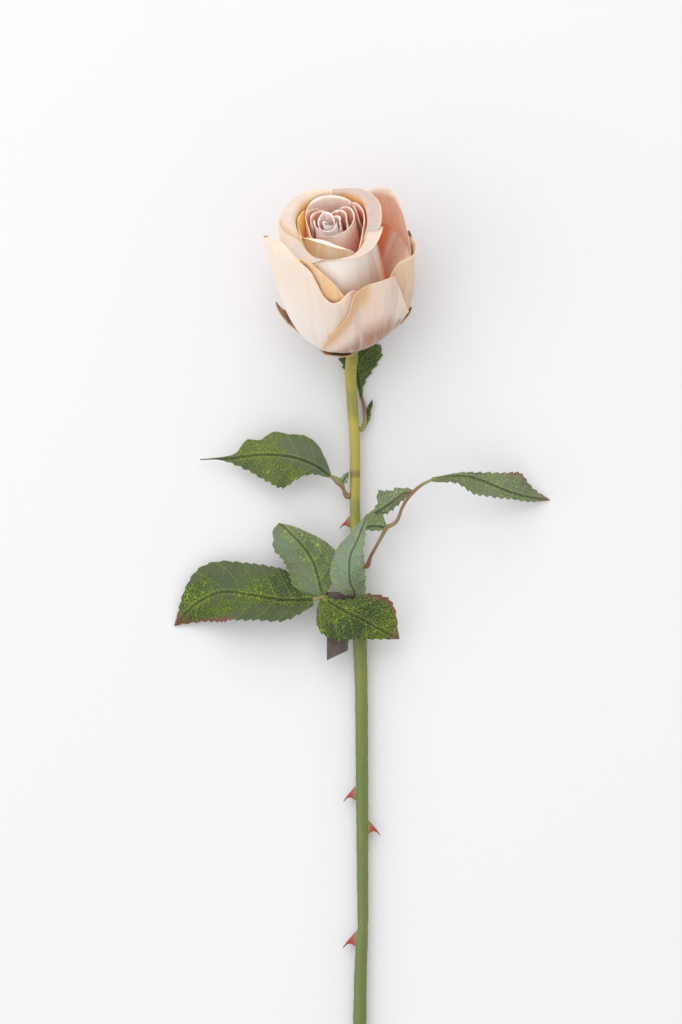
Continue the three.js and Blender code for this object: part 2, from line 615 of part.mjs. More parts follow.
// A hooked thorn grows from two facets of the bark, between the rings at its foot.
function thornFaces({ y, side, size }, positions, faces, foot) {
  const { centre, radius } = stemAt(y);
  const out = outFromStem(side === "right" ? 0 : 180);
  const across = new THREE.Vector3(0, 1, 0).cross(out);
  let below = foot;
  for (const ring of THORN_RINGS) {
    const middle = centre.clone().addScaledVector(out, radius + ring.out * size);
    middle.y -= ring.lean * size;
    const here = below.map((_, k) => {
      const angle = radians(60 * k - 150);
      const point = middle.clone().addScaledVector(across, Math.cos(angle) * ring.width * size);
      point.y += Math.sin(angle) * ring.length * size;
      return positions.push(...point) / 3 - 1;
    });
    below.forEach((a, k) => {
      const next = (k + 1) % below.length;
      faces.push(a, below[next], here[next], a, here[next], here[k]);
    });
    below = here;
  }
  for (let k = 1; k < below.length - 1; k++) faces.push(below[0], below[k], below[k + 1]);
}

function stem(frame) {
  const neck = neckPoints(frame);
  const line = [...STEM.map((s) => s.at), ...neck].map(vector);
  const curve = new THREE.CatmullRomCurve3(line, false, "centripetal");
  const [straightEnd, top] = [STEM.at(-1).at[1], neck[1][1]];
  const places = ringPlaces(top);
  const turn = (2 * Math.PI) / STEM_SIDES;
  const positions = [];
  for (const y of places) {
    const t = curveShareAt(curve, y);
    const centre = curve.getPoint(t);
    const tangent = curve.getTangent(t);
    const right = tangent.clone().cross(new THREE.Vector3(0, 0, 1)).normalize();
    const down = tangent.clone().cross(right);
    const swelling = (y - straightEnd) / (top - straightEnd);
    const radius = y < straightEnd ? stemAt(y).radius : lerp(STEM.at(-1).radius, STEM_TOP_RADIUS, swelling);
    for (let i = 0; i < STEM_SIDES; i++) {
      const point = centre.clone().addScaledVector(right, radius * Math.cos(i * turn));
      point.addScaledVector(down, radius * Math.sin(i * turn));
      if (y === 0) point.y = CUT_MIDDLE.y + (point.z - CUT_MIDDLE.z) * Math.tan(radians(CUT_SLANT));
      positions.push(...point);
    }
  }
  const at = (i, j) => j * STEM_SIDES + ((i + STEM_SIDES) % STEM_SIDES);
  const feet = THORNS.map((thorn) => ({
    thorn,
    ring: places.indexOf(thorn.y - THORN_FOOT * thorn.size),
    middle: thorn.side === "right" ? 0 : STEM_SIDES / 2,
  }));
  const covered = new Set(feet.flatMap(({ ring, middle }) => [at(middle - 1, ring), at(middle, ring)]));
  const faces = [];
  for (let j = 0; j < places.length - 1; j++) {
    for (let i = 0; i < STEM_SIDES; i++) {
      if (covered.has(at(i, j))) continue;
      faces.push(at(i, j), at(i + 1, j), at(i + 1, j + 1), at(i, j), at(i + 1, j + 1), at(i, j + 1));
    }
  }
  for (let i = 1; i < STEM_SIDES - 1; i++) {
    faces.push(at(0, 0), at(i + 1, 0), at(i, 0));
    faces.push(at(0, places.length - 1), at(i, places.length - 1), at(i + 1, places.length - 1));
  }
  for (const { thorn, ring, middle } of feet) {
    const near = [-1, 0, 1].map((i) => at(middle + i, ring));
    const far = [1, 0, -1].map((i) => at(middle + i, ring + 1));
    thornFaces(thorn, positions, faces, [...near, ...far]);
  }
  const geometry = new THREE.BufferGeometry();
  geometry.setAttribute("position", new THREE.Float32BufferAttribute(positions, 3));
  geometry.setIndex(faces);
  return geometry;
}

// The share of the stem's curve at which it reaches a place along it, found by halving
function curveShareAt(curve, y) {
  let [low, high] = [0, 1];
  for (let i = 0; i < 30; i++) {
    const half = (low + high) / 2;
    if (curve.getPoint(half).y < y) low = half;
    else high = half;
  }
  return (low + high) / 2;
}

// Leaves. rib: points of a leaflet's midrib from its base to its tip. left, right: half widths as seen from
// above, evenly spaced from base to tip. lift: how steeply each half rises from the midrib.
// foot: where a stalk leaves the stem, as the place along it and the way out.
const LEAVES = {
  leaf_behind_bloom: {
    stalks: [
      {
        foot: { y: 379.5, turn: -12 },
        path: [[2.6, 384, 3.4], [2.2, 390, 2.2], [0.8, 396, 1.2]],
        radii: [1.2, 0.9, 0.75],
      },
    ],
    leaflets: [
      {
        rib: [[2.5, 381, 3.6], [3.3, 385, 3], [4.4, 389, 2.4], [6.2, 394.3, 1.8]],
        left: [0.6, 1.4, 1, 1.6, 0.9, 0],
        right: [0.6, 1.6, 2.2, 1.2, 1.2, 0],
        lift: [-0.1, 0.1],
      },
      {
        rib: [
          [0.7, 395, 1.25], [-0.5, 402, 1], [-1.5, 409, 0.8], [-2, 416, 0.7], [-3, 423, 0.7], [-4, 429, 0.7],
        ],
        left: [0.5, 1, 4, 8, 9, 6, 0],
        right: [0.5, 2.5, 7, 11.5, 14, 9, 0],
        lift: [0, 0],
      },
    ],
  },
  leaf_upper_left: {
    stalks: [
      {
        foot: { y: 346, turn: 170 },
        path: [[-9, 351, 8.6], [-12.5, 354.6, 10.5], [-15, 356, 12]],
        radii: [1.6, 0.9, 1.9, 0.8],
      },
    ],
    leaflets: [
      {
        rib: [[-9.5, 351.6, 9.2], [-8, 354.5, 9.6], [-5.8, 358, 9.4]],
        left: [0.6, 1.8, 1.6, 0],
        right: [0.6, 2.6, 2, 0],
        lift: [0.2, -0.2],
      },
      {
        rib: [
          [-15, 356, 12], [-21, 360.5, 14.5], [-30, 364.5, 16], [-40, 366.5, 15.5],
          [-52.5, 366.5, 12], [-64, 365, 8], [-80, 364.3, 4],
        ],
        left: [1, 7, 16.5, 14, 7.5, 1, 0],
        right: [1, 6.5, 11.5, 11, 8, 1.5, 0],
        lift: [-0.3, -0.15],
      },
    ],
  },
  leaf_right: {
    stalks: [
      {
        foot: { y: 311, turn: 20 },
        path: [[5.5, 316, 9.5], [8.5, 321.5, 12.5], [11.5, 327, 15.5], [13.2, 330.3, 17]],
        radii: [1.4, 0.9, 0.8, 0.9, 1.2],
      },
      {
        path: [
          [13.2, 330.3, 17], [18, 333, 19.5], [21, 340, 22.5], [24, 345, 25], [30, 351, 28], [36, 354.2, 30],
        ],
        radii: [1.1, 0.8, 0.9, 0.7],
      },
    ],
    leaflets: [
      {
        rib: [[36, 354.2, 30], [50, 356, 31], [60, 354, 28], [70, 350, 22], [80, 346.5, 13], [95, 344, 0.4]],
        left: [1, 1.5, 4, 8, 11, 5, 0],
        right: [1, 4, 8, 6, 3.5, 2.5, 0],
        lift: [-0.75, -1.1],
      },
      {
        rib: [[27, 348, 26.5], [21.5, 347, 26], [16, 343, 23], [10, 339, 17], [2, 335, 11]],
        left: [0.8, 3, 3.5, 4, 3.5, 2.5, 0],
        right: [0.8, 4, 6.5, 9, 4, 1.5, 0],
        lift: [-1.3, -0.5],
      },
      {
        rib: [[13.2, 330.3, 17], [9, 331, 16.5], [5, 331, 14.5], [0.5, 329.5, 12]],
        left: [0.8, 2, 3, 3, 2.5, 1.5, 0],
        right: [0.8, 5.5, 7, 7, 6, 4, 0],
        lift: [-0.6, 0.25],
      },
    ],
  },
  leaf_lower: {
    stalks: [
      {
        foot: { y: 294, turn: 140 },
        path: [[-6, 294.8, 10], [-11, 295.3, 11.8], [-19, 295.4, 14.5], [-23.5, 294.2, 15]],
        radii: [1.5, 0.9, 0.9, 1.1, 0.8],
      },
    ],
    leaflets: [
      {
        rib: [
          [-23.5, 294.2, 15], [-38.5, 294, 18.5], [-54, 296.5, 18.5], [-69, 298, 14],
          [-81, 293, 8], [-93, 281, 0.4],
        ],
        left: [3, 10.5, 12.5, 14.5, 15, 10, 0],
        right: [3, 14.5, 16, 15.5, 15, 7, 0],
        lift: [-0.15, -0.4],
      },
      {
        rib: [
          [-19, 295.4, 14.5], [-19.8, 300, 17.3], [-23.5, 313, 19.5], [-27.5, 319.5, 19.5],
          [-33, 325.5, 17.5], [-40.5, 332.5, 13],
        ],
        left: [2, 13, 14, 13.5, 12.5, 12, 5],
        right: [0.8, 7, 13.5, 11, 7, 4, 0],
        lift: [-0.3, -0.32],
      },
      {
        rib: [
          [-19, 295.4, 14.5], [-15.5, 293, 19.5], [-5.5, 287.5, 22.5], [1, 284.5, 22.5],
          [7, 281, 20], [13.5, 277.5, 16], [19.7, 274.5, 12],
        ],
        left: [1, 3, 7.5, 14, 16, 11, 0],
        right: [1.5, 14, 16, 12.5, 8, 4, 0],
        lift: [-0.15, -0.3],
      },
      {
        rib: [
          [-4.2, 294.4, 8.8], [-2.6, 296.8, 14], [-5, 303, 19], [-5, 316, 25], [-1.5, 324, 28],
          [3.5, 337, 30],
        ],
        left: [0.8, 5, 9.5, 8.5, 6, 3.5, 0],
        right: [0.8, 7, 8.5, 7.5, 5.5, 3, 0],
        lift: [0.4, -0.3],
      },
    ],
  },
};
const TOOTH_PITCH = 4.2;
const TOOTH_DEPTH = 1.5;
const ROOT_SHARE = 0.2; // of a leaflet's midrib is thickened, where it leaves its stalk
const TOOTH_PEAK = 0.8; // share of the pitch, so that the teeth point to the tip

function leaflet({ rib, left, right, lift }) {
  const curve = new THREE.CatmullRomCurve3(rib.map(vector), false, "centripetal");
  const teeth = Math.round(curve.getLength() / TOOTH_PITCH);
  const stations = [{ t: 0, cut: 1 }];
  for (let k = 0; k < teeth; k++) {
    stations.push({ t: (k + TOOTH_PEAK) / teeth, cut: 0 });
    stations.push({ t: (k + 1) / teeth, cut: 1 });
  }
  const at = (u, { t, cut }) => {
    const way = curve.getTangentAt(t).setZ(0).normalize();
    const [widths, rise, sign] = u < 0 ? [left, lift[0], 1] : [right, lift[1], -1];
    const half = Math.max(evenSpline(widths, t), 0.25);
    const tooth = TOOTH_DEPTH * cut * smooth(half, 0.5, 4) * smooth(t, 0.02, 0.12);
    const out = (half - tooth) * Math.abs(u);
    const wave = 0.5 * Math.sin(t * 9 + sign) * Math.abs(u) * smooth(half, 2, 8);
    const point = curve.getPointAt(t);
    point.add(new THREE.Vector3(-way.y * sign * out, way.x * sign * out, rise * out + wave));
    point.z = Math.max(point.z, BLADE_THICKNESS / 2 + 0.05);
    return point;
  };
  const blade = sheet(at, [-1, 0, 1], stations, BLADE_THICKNESS);
  const root = evenly(0, ROOT_SHARE, 2).map((t) => curve.getPointAt(t).toArray());
  return [blade, rod(root, [0.8, 0.6], 4, 2)];
}

// A stalk that starts at the stem leaves it square on, just clear of its bark.
function stalk({ foot, path, radii }) {
  if (!foot) return rod(path, radii, 6, 2 * path.length);
  const { centre, radius } = stemAt(foot.y);
  const out = outFromStem(foot.turn);
  const onOut = (gap) => centre.clone().addScaledVector(out, radius + gap).toArray();
  const start = [onOut(NECK_GAP + 0.1), onOut(1.6)];
  return rod([...start, ...path], radii, 6, 2 * path.length + 4);
}

function leaf({ stalks, leaflets }) {
  const rods = stalks.map(stalk);
  return fuse([...rods, ...leaflets.flatMap(leaflet)], [belowTable()]);
}

// Label: a strip folded into a loop round the lower leaf's stalk, its two ends lying together as a tail
// that ends on a slant
const LABEL = { at: [-11.2, 295.3, 11.95], turn: 0, slope: 19, loop: 2.3, tail: 29, slant: 24 };

function label() {
  const { loop, tail, slant } = LABEL;
  const t = LABEL_THICKNESS;
  const longest = tail + LABEL_WIDTH / 2;
  const outline = new THREE.Shape();
  outline.moveTo(-longest, -t);
  outline.lineTo(-loop * 1.6, -t);
  outline.absarc(0, 0, loop + t, Math.PI * 1.18, Math.PI * 0.82, false);
  outline.lineTo(-loop * 1.6, t);
  outline.lineTo(-longest, t);
  outline.closePath();
  const hole = new THREE.Path();
  hole.absarc(0, 0, loop, 0, Math.PI * 2, false);
  outline.holes.push(hole);
  const settings = { depth: LABEL_WIDTH, bevelEnabled: false, curveSegments: 12 };
  const strip = new THREE.ExtrudeGeometry(outline, settings);
  // The outline's X runs along the tail and its extrusion along the stalk.
  strip.translate(0, 0, -LABEL_WIDTH / 2);
  const along = new THREE.Matrix4().makeBasis(
    new THREE.Vector3(0, 1, 0),
    new THREE.Vector3(0, 0, 1),
    new THREE.Vector3(1, 0, 0),
  );
  const end = new THREE.BoxGeometry(40, 20, 10).translate(0, -10, 0);
  end.rotateZ(radians(slant)).translate(0, -tail, 0);
  return fuse([strip.applyMatrix4(along)], [end]);
}

// Assembly
const paint = (color, roughness) => new THREE.MeshStandardMaterial({ color, roughness, metalness: 0 });
const GREEN_LEAF = paint(0x4c6b32, 0.6);

function piece(name, geometry, material) {
  const mesh = new THREE.Mesh(geometry, material);
  mesh.name = name;
  return mesh;
}

const frame = bloomFrame();
const head = new THREE.Group();
head.applyMatrix4(frame);
const petals = bloom(frame);
head.add(piece("bloom", petals, paint(0xf6e3cf, 0.7)));
head.add(piece("calyx", calyx(frame, petals), paint(0x66753f, 0.65)));

const rose = new THREE.Group();
rose.add(head);
rose.add(piece("stem", stem(frame), paint(0x7f8c4a, 0.5)));
for (const [name, shape] of Object.entries(LEAVES)) rose.add(piece(name, leaf(shape), GREEN_LEAF));
const labelMesh = piece("label", label(), paint(0x5a4f4d, 0.55));
labelMesh.position.set(...LABEL.at);
labelMesh.rotation.set(0, radians(LABEL.slope), radians(LABEL.turn));
rose.add(labelMesh);

const footprint = new THREE.Box3().setFromObject(rose, true);
const middle = footprint.getCenter(new THREE.Vector3());
rose.position.set(-middle.x, -middle.y, -footprint.min.z);

export default rose;
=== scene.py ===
"""A cut rose lying face up on a pale table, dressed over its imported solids.

Points are drawn in millimetres from the stem's cut end, as in the part's source: X to the right,
Y along the stem to the bloom, Z up from the table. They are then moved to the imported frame, in metres.
"""
import math

import bpy
import numpy as np
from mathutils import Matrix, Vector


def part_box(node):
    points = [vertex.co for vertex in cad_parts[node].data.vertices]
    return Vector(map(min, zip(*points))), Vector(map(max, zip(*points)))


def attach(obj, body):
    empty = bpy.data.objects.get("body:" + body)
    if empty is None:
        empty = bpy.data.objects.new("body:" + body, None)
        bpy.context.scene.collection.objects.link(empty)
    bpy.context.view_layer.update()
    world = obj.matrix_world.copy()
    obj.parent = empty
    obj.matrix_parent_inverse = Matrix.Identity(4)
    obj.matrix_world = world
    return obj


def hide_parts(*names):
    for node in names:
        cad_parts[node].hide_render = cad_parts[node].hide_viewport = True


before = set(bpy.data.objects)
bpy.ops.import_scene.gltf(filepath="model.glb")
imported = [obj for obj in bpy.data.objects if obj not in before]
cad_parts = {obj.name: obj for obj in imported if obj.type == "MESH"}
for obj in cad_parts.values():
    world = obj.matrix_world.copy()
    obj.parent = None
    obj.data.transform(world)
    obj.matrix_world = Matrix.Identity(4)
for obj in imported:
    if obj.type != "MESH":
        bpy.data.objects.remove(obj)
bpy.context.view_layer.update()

MM = 0.001
STEM_LOW = np.array([-10.195, 0.6543, 0.05])  # the stem's lowest corner, as drawn
SHIFT = np.array(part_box("stem")[0]) - STEM_LOW * MM

BLOOM_BASE = np.array([-5.2, 427.5, 14.3])
BLOOM_TILT = 43
BLOOM_LEAN = 9
PETAL_THICKNESS = 0.5
BLADE_THICKNESS = 0.35
TABLE_GAP = 0.02  # no point is drawn lower above the table
SHEET_LOW = 0.3  # the middle of a sheet lies no lower


# Curves and sheets

STEPS_PER_SPAN = 24


def ease(x, low, high):
    """Smooth step from 0 at low to 1 at high."""
    t = np.clip((x - low) / (high - low), 0, 1)
    return t * t * (3 - 2 * t)


def between(t, start, end, a, b):
    """From a at the start to b at the end."""
    return (end - t) / (end - start) * a + (t - start) / (end - start) * b


def lengths_along(points):
    """The length of a path of points up to each of them."""
    return np.concatenate([[0], np.cumsum(np.linalg.norm(np.diff(points, axis=0), axis=1))])


def smooth_path(points):
    """A centripetal Catmull-Rom curve through the points, as a function of the share of its length, and
    that length."""
    p = np.array(points, float)
    p = np.vstack([2 * p[0] - p[1], p, 2 * p[-1] - p[-2]])
    pieces = []
    for k in range(1, len(p) - 2):
        a, b, c, d = p[k - 1 : k + 3]
        t1 = np.linalg.norm(b - a) ** 0.5
        t2 = t1 + np.linalg.norm(c - b) ** 0.5
        t3 = t2 + np.linalg.norm(d - c) ** 0.5
        t = np.linspace(t1, t2, STEPS_PER_SPAN, endpoint=False)[:, None]
        bc = between(t, t1, t2, b, c)
        abc = between(t, 0, t2, between(t, 0, t1, a, b), bc)
        bcd = between(t, t1, t3, bc, between(t, t2, t3, c, d))
        pieces.append(between(t, t1, t2, abc, bcd))
    dense = np.vstack(pieces + [p[-2:-1]])
    lengths = lengths_along(dense)
    share = lengths / lengths[-1]

    def at(s):
        return grid(*(np.interp(s, share, values) for values in dense.T))

    return at, lengths[-1]


def even_spline(values, t):
    """A uniform Catmull-Rom spline through evenly spaced values, read at t from 0 to 1."""
    v = np.array([2 * values[0] - values[1], *values, 2 * values[-1] - values[-2]], float)
    place = t * (len(values) - 1)
    k = np.minimum(place.astype(int), len(values) - 2)
    f = place - k
    a, b, c, d = v[k], v[k + 1], v[k + 2], v[k + 3]
    square = (2 * a - 5 * b + 4 * c - d) * f**2
    cube = (3 * b - a - 3 * c + d) * f**3
    return 0.5 * (2 * b + (c - a) * f + square + cube)


def resampled(table, count):
    """The columns of a table, read at evenly spaced places from its first row to its last."""
    rows = np.linspace(0, len(table) - 1, count)
    return np.array([np.interp(rows, range(len(table)), column) for column in np.array(table, float).T])


def grid(*values):
    """Values that broadcast to one shape, as the coordinates of points."""
    return np.stack(np.broadcast_arrays(*values), axis=-1)


def full_turn(count):
    return np.linspace(0, 2 * np.pi, count, endpoint=False)


def unit(v):
    return v / np.maximum(np.linalg.norm(v, axis=-1, keepdims=True), 1e-9)


class Builder:
    """Collects faces of one piece, with a material number and texture coordinates for each corner."""

    def __init__(self):
        self.points = []
        self.faces = []
        self.materials = []
        self.maps = []
        self.count = 0

    def add(self, points, faces, material, **maps):
        """points: (n, 3) in mm. faces: (m, 4). maps: name to (n, 2) values for the points."""
        # Where a piece lies on the table it is flat.
        self.points.append(np.maximum(points, [-np.inf, -np.inf, TABLE_GAP]))
        self.faces.append(faces + self.count)
        self.materials.append(np.full(len(faces), material))
        self.maps.append({name: values[faces.ravel()] for name, values in maps.items()})
        self.count += len(points)

    def sheet(self, middle, thickness, material, maps, kind=None):
        """A closed sheet round a grid of middle points. With a kind, the map "side" holds it beside a 0 on
        the face that the normal points to and a 1 on the other."""
        rows, columns = middle.shape[:2]
        normal = unit(np.cross(np.gradient(middle, axis=1), np.gradient(middle, axis=0)))
        half = np.broadcast_to(thickness, (rows, columns))[..., None] / 2
        middle = np.maximum(middle, [-np.inf, -np.inf, SHEET_LOW])
        points = np.stack([middle + normal * half, middle - normal * half]).reshape(-1, 3)
        n = rows * columns
        number = np.arange(n).reshape(rows, columns)
        a, b = number[:-1, :-1].ravel(), number[:-1, 1:].ravel()
        c, d = number[1:, 1:].ravel(), number[1:, :-1].ravel()
        rim = np.concatenate([number[0, :-1], number[:-1, -1], number[-1, :0:-1], number[:0:-1, 0]])
        after = np.roll(rim, -1)
        top = np.stack([a, b, c, d], axis=1)
        under = np.stack([a, d, c, b], axis=1) + n
        edge = np.stack([rim, rim + n, after + n, after], axis=1)
        full = {name: np.tile(values.reshape(-1, 2), (2, 1)) for name, values in maps.items()}
        if kind is not None:
            full["side"] = np.repeat([[0.0, kind], [1.0, kind]], n, axis=0)
        self.add(points, np.vstack([top, under, edge]), material, **full)

    def rod(self, path, radii, sides, steps, material, reach=1):
        """A closed round rod along a path, up to a share of its length. radii are spread evenly over it."""
        at, length = smooth_path(path)
        s = np.linspace(0, reach, steps + 1)
        centre = at(s)
        tangent = unit(np.gradient(centre, axis=0))
        radius = np.interp(s, np.linspace(0, 1, len(radii)), radii)
        turn = full_turn(sides)[:, None]
        side = np.array([0, 0, 1])
        rings = []
        for k in range(steps + 1):
            side = unit(side - tangent[k] * (side @ tangent[k]))
            other = np.cross(tangent[k], side)
            rings.append(centre[k] + radius[k] * (np.cos(turn) * side + np.sin(turn) * other))
        self.rings(np.array(rings), material, "rod", s * length)

    def rings(self, rings, material, along_map, lengths, first_cap=None):
        """Rings of points joined into a body with flat ends. first_cap: its first end's material."""
        count, sides = rings.shape[:2]
        number = np.arange(count * sides).reshape(count, sides)
        after = np.roll(number, -1, axis=1)
        faces = np.stack([number[:-1], after[:-1], after[1:], number[1:]], axis=-1).reshape(-1, 4)
        turn = np.linspace(0, 1, sides, endpoint=False)
        place = grid(turn[None, :], lengths[:, None]).reshape(-1, 2)
        caps = []
        for ring, flip in ((number[0], True), (number[-1], False)):
            for k in range(1, sides - 2, 2):
                quad = [ring[0], ring[k], ring[k + 1], ring[min(k + 2, sides - 1)]]
                caps.append(quad[::-1] if flip else quad)
        self.add(rings.reshape(-1, 3), np.vstack([faces, caps]), material, **{along_map: place})
        if first_cap is not None:
            self.materials[-1][len(faces) : len(faces) + len(caps) // 2] = first_cap

    def finish(self, name, materials):
        points = np.vstack(self.points) * MM + SHIFT
        faces = np.vstack(self.faces)
        mesh = bpy.data.meshes.new(name)
        mesh.from_pydata(points.tolist(), [], faces.tolist())
        for material in materials:
            mesh.materials.append(material)
        mesh.polygons.foreach_set("material_index", np.concatenate(self.materials).astype(np.int32))
        mesh.polygons.foreach_set("use_smooth", np.full(len(faces), True))
        for map_name in sorted({key for part in self.maps for key in part}):
            parts = [m.get(map_name, np.zeros((f.size, 2))) for m, f in zip(self.maps, self.faces)]
            layer = mesh.uv_layers.new(name=map_name)
            layer.data.foreach_set("uv", np.vstack(parts).astype(np.float32).ravel())
        mesh.validate()
        mesh.update()
        mesh.set_sharp_from_angle(angle=math.radians(50))
        return add_object(name, mesh)


def add_object(name, data):
    item = bpy.data.objects.new(name, data)
    bpy.context.collection.objects.link(item)
    return item


# Materials

class Nodes:
    """Short names for building a material's node tree."""

    def __init__(self, name):
        self.material = bpy.data.materials.new(name)
        self.material.use_nodes = True
        self.tree = self.material.node_tree
        self.shader = self.tree.nodes["Principled BSDF"]

    def node(self, kind, inputs=(), **settings):
        node = self.tree.nodes.new(kind)
        for key, value in settings.items():
            setattr(node, key, value)
        for key, value in dict(inputs).items():
            self.put(value, node.inputs[key])
        return node

    def put(self, value, socket):
        if isinstance(value, bpy.types.NodeSocket):
            self.tree.links.new(value, socket)
        else:
            socket.default_value = value

    def shade(self, **values):
        for name, value in values.items():
            self.put(value, self.shader.inputs[name.replace("_", " ")])

    def uv(self, name):
        node = self.node("ShaderNodeUVMap", uv_map=name)
        return self.node("ShaderNodeSeparateXYZ", {0: node.outputs["UV"]}).outputs

    def math(self, operation, a, b=0.0, c=0.0):
        return self.node("ShaderNodeMath", {0: a, 1: b, 2: c}, operation=operation).outputs[0]

    def times(self, a, b, plus=0.0):
        """a times b, plus a third value."""
        return self.math("MULTIPLY_ADD", a, b, plus)

    def ramp(self, value, low, high, to_low=0.0, to_high=1.0):
        """A smooth step from low to high, which falls where high is the lower."""
        inputs = {"Value": value, "From Min": low, "From Max": high, "To Min": to_low, "To Max": to_high}
        return self.node("ShaderNodeMapRange", inputs, interpolation_type="SMOOTHSTEP").outputs["Result"]

    def mix(self, share, a, b):
        """A mix of two colours, each a socket or a screen code."""
        a, b = (rgb(colour) if isinstance(colour, str) else colour for colour in (a, b))
        return self.node("ShaderNodeMix", {0: share, 6: a, 7: b}, data_type="RGBA").outputs[2]

    def tint(self, colour, share, strength, other):
        """The colour, mixed with another one by a share times a strength."""
        return self.mix(self.times(share, strength), colour, other)

    def position(self):
        return self.node("ShaderNodeTexCoord").outputs["Object"]

    def noise(self, scale, detail=2.0, place=None):
        inputs = {"Vector": place or self.position(), "Scale": scale, "Detail": detail}
        return self.node("ShaderNodeTexNoise", inputs).outputs["Fac"]

    def stretched(self, x, y, z):
        return self.node("ShaderNodeCombineXYZ", {0: x, 1: y, 2: z}).outputs[0]

    def bump(self, height, strength, distance, **normal):
        inputs = {"Height": height, "Strength": strength, "Distance": distance, **normal}
        return self.node("ShaderNodeBump", inputs).outputs["Normal"]


def rgb(code):
    """A colour from its screen code, such as #f0ded4."""
    shades = [int(code[k : k + 2], 16) / 255 for k in (1, 3, 5)]
    return (*(c / 12.92 if c <= 0.04045 else ((c + 0.055) / 1.055) ** 2.4 for c in shades), 1.0)


# Colours of each kind of petal: outside and inside at its foot and top, its lip, the stripes of painted
# light and shade along its folds and its finer streaks, and its margin. The orange and rose towards the feet
# is partly the petals' own colour and partly painted shade and glow deep in the bloom. climb: where on the
# petal the foot's colour turns into the top's. margin_at: between which places across the petal, -1 to 1,
# the margin's colour fades. margin_from: where it sets in. crease: the shade along a slanting crease in its
# lip.
PETAL_PAINTS = {
    "left": dict(
        outside=("#f0ded4", "#f0d6c0"), inside=("#ecb078", "#f8d4b4"), lip="#f6d8b8", fold_shading_and_streak="#eed8ce",
        margin="#f4dabe",
    ),
    # Painted shade: its brown foot stands for the shade low on the bloom, its darker colour for a face
    # turned from the light, and its golden margin for the shade in its curled left edge.
    "front": dict(
        outside=("#a47054", "#eccebc"), inside=("#ecaa70", "#f8cca0"), lip="#f0d0b8", fold_shading_and_streak="#d8baae",
        margin="#ce9e62", climb=(0.42, 0.62), margin_at=(-0.16, 0.04), margin_from=(0.64, 0.76),
    ),
    # Painted shade: its tan stands for the right side turned away from the light.
    "right": dict(
        outside=("#ba9276", "#dab898"), inside=("#e4be96", "#f0ceb0"), lip="#e8caaa", fold_shading_and_streak="#ceb096",
        margin="#c4a07e",
    ),
    "tall": dict(
        outside=("#d6ac92", "#f0d6c4"), inside=("#f6c29a", "#fad6c6"), lip="#ccb4a4", fold_shading_and_streak="#e0c8ba",
        margin="#fcd6d4", margin_at=(-0.45, 0.05),
    ),
    # Painted shade: its gold stands for the shaded inner face seen between the left and the front petal.
    "between": dict(
        outside=("#e8aa70", "#eeba8c"), inside=("#f0aa64", "#f8c896"), lip="#f6c484", fold_shading_and_streak="#ecc8a8",
        margin="#f0be82",
    ),
    # Its greyish lip is painted shade.
    "face": dict(
        outside=("#f6ba8c", "#fff4ea"), inside=("#ff9642", "#ffce8c"), lip="#d2beb4", fold_shading_and_streak="#dec0aa",
        margin="#ecd0b4",
    ),
    # Painted shade: its orange outside stands for the deep shade in the gap beside the front right petal,
    # and its greyish lip for shade on the lip.
    "back": dict(
        outside=("#ff781e", "#ff8838"), inside=("#ff8c3c", "#ffc482"), lip="#beaca4", fold_shading_and_streak="#bea89c",
        margin="#ceb8aa",
    ),
    # Painted glow and shade: its gold stands for the glowing shade inside the third layer's left petal.
    "lining": dict(
        outside=("#ff8228", "#ffbe6e"), inside=("#ff7818", "#ffd082"), lip="#ffce82", fold_shading_and_streak="#f0b05a",
        margin="#ffc878",
    ),
    "shade": dict(
        outside=("#ec965a", "#e4be96"), inside=("#fab278", "#ffe8d0"), lip="#f6d6bc", fold_shading_and_streak="#e6ceb8",
        margin="#ff802c", climb=(0.46, 0.7), margin_at=(0.5, 0.3),
    ),
    "band": dict(
        outside=("#ffc482", "#ffeed4"), inside=("#ff965a", "#fad6c4"), lip="#fff2e6", fold_shading_and_streak="#f6d6b4",
        margin="#fce2be", climb=(0.62, 0.76),
    ),
    # Its rose foot inside is painted shade low in the heart.
    "second": dict(
        outside=("#ff8c46", "#ffceb0"), inside=("#f68c60", "#ffe8d8"), lip="#ffeee2", fold_shading_and_streak="#fae2d8",
        margin="#fadccc", climb=(0.6, 0.75),
    ),
    "glowing": dict(
        outside=("#ff8c46", "#ffceb0"), inside=("#ff783c", "#fac4a4"), lip="#ffeee2", fold_shading_and_streak="#f0b496",
        margin="#fac8aa", climb=(0.68, 0.84),
    ),
    # Painted shade: the rose foot outside and the deep rose inside stand for the shade deep in the heart.
    "first": dict(
        outside=("#f08264", "#ffe8dc"), inside=("#c8482c", "#f09a80"), lip="#fff4ec", fold_shading_and_streak="#f6cec0",
        margin="#ffe6de", climb=(0.66, 0.78),
    ),
    "heart": dict(
        outside=("#ffd6c4", "#ffeee6"), inside=("#c85a46", "#f0beb4"), lip="#fffcfc", fold_shading_and_streak="#ffeeee",
        margin="#fff4f0", climb=(0.6, 0.74),
    ),
}
PETAL_PAINTS["creased"] = dict(PETAL_PAINTS["face"], crease="#c49c70")


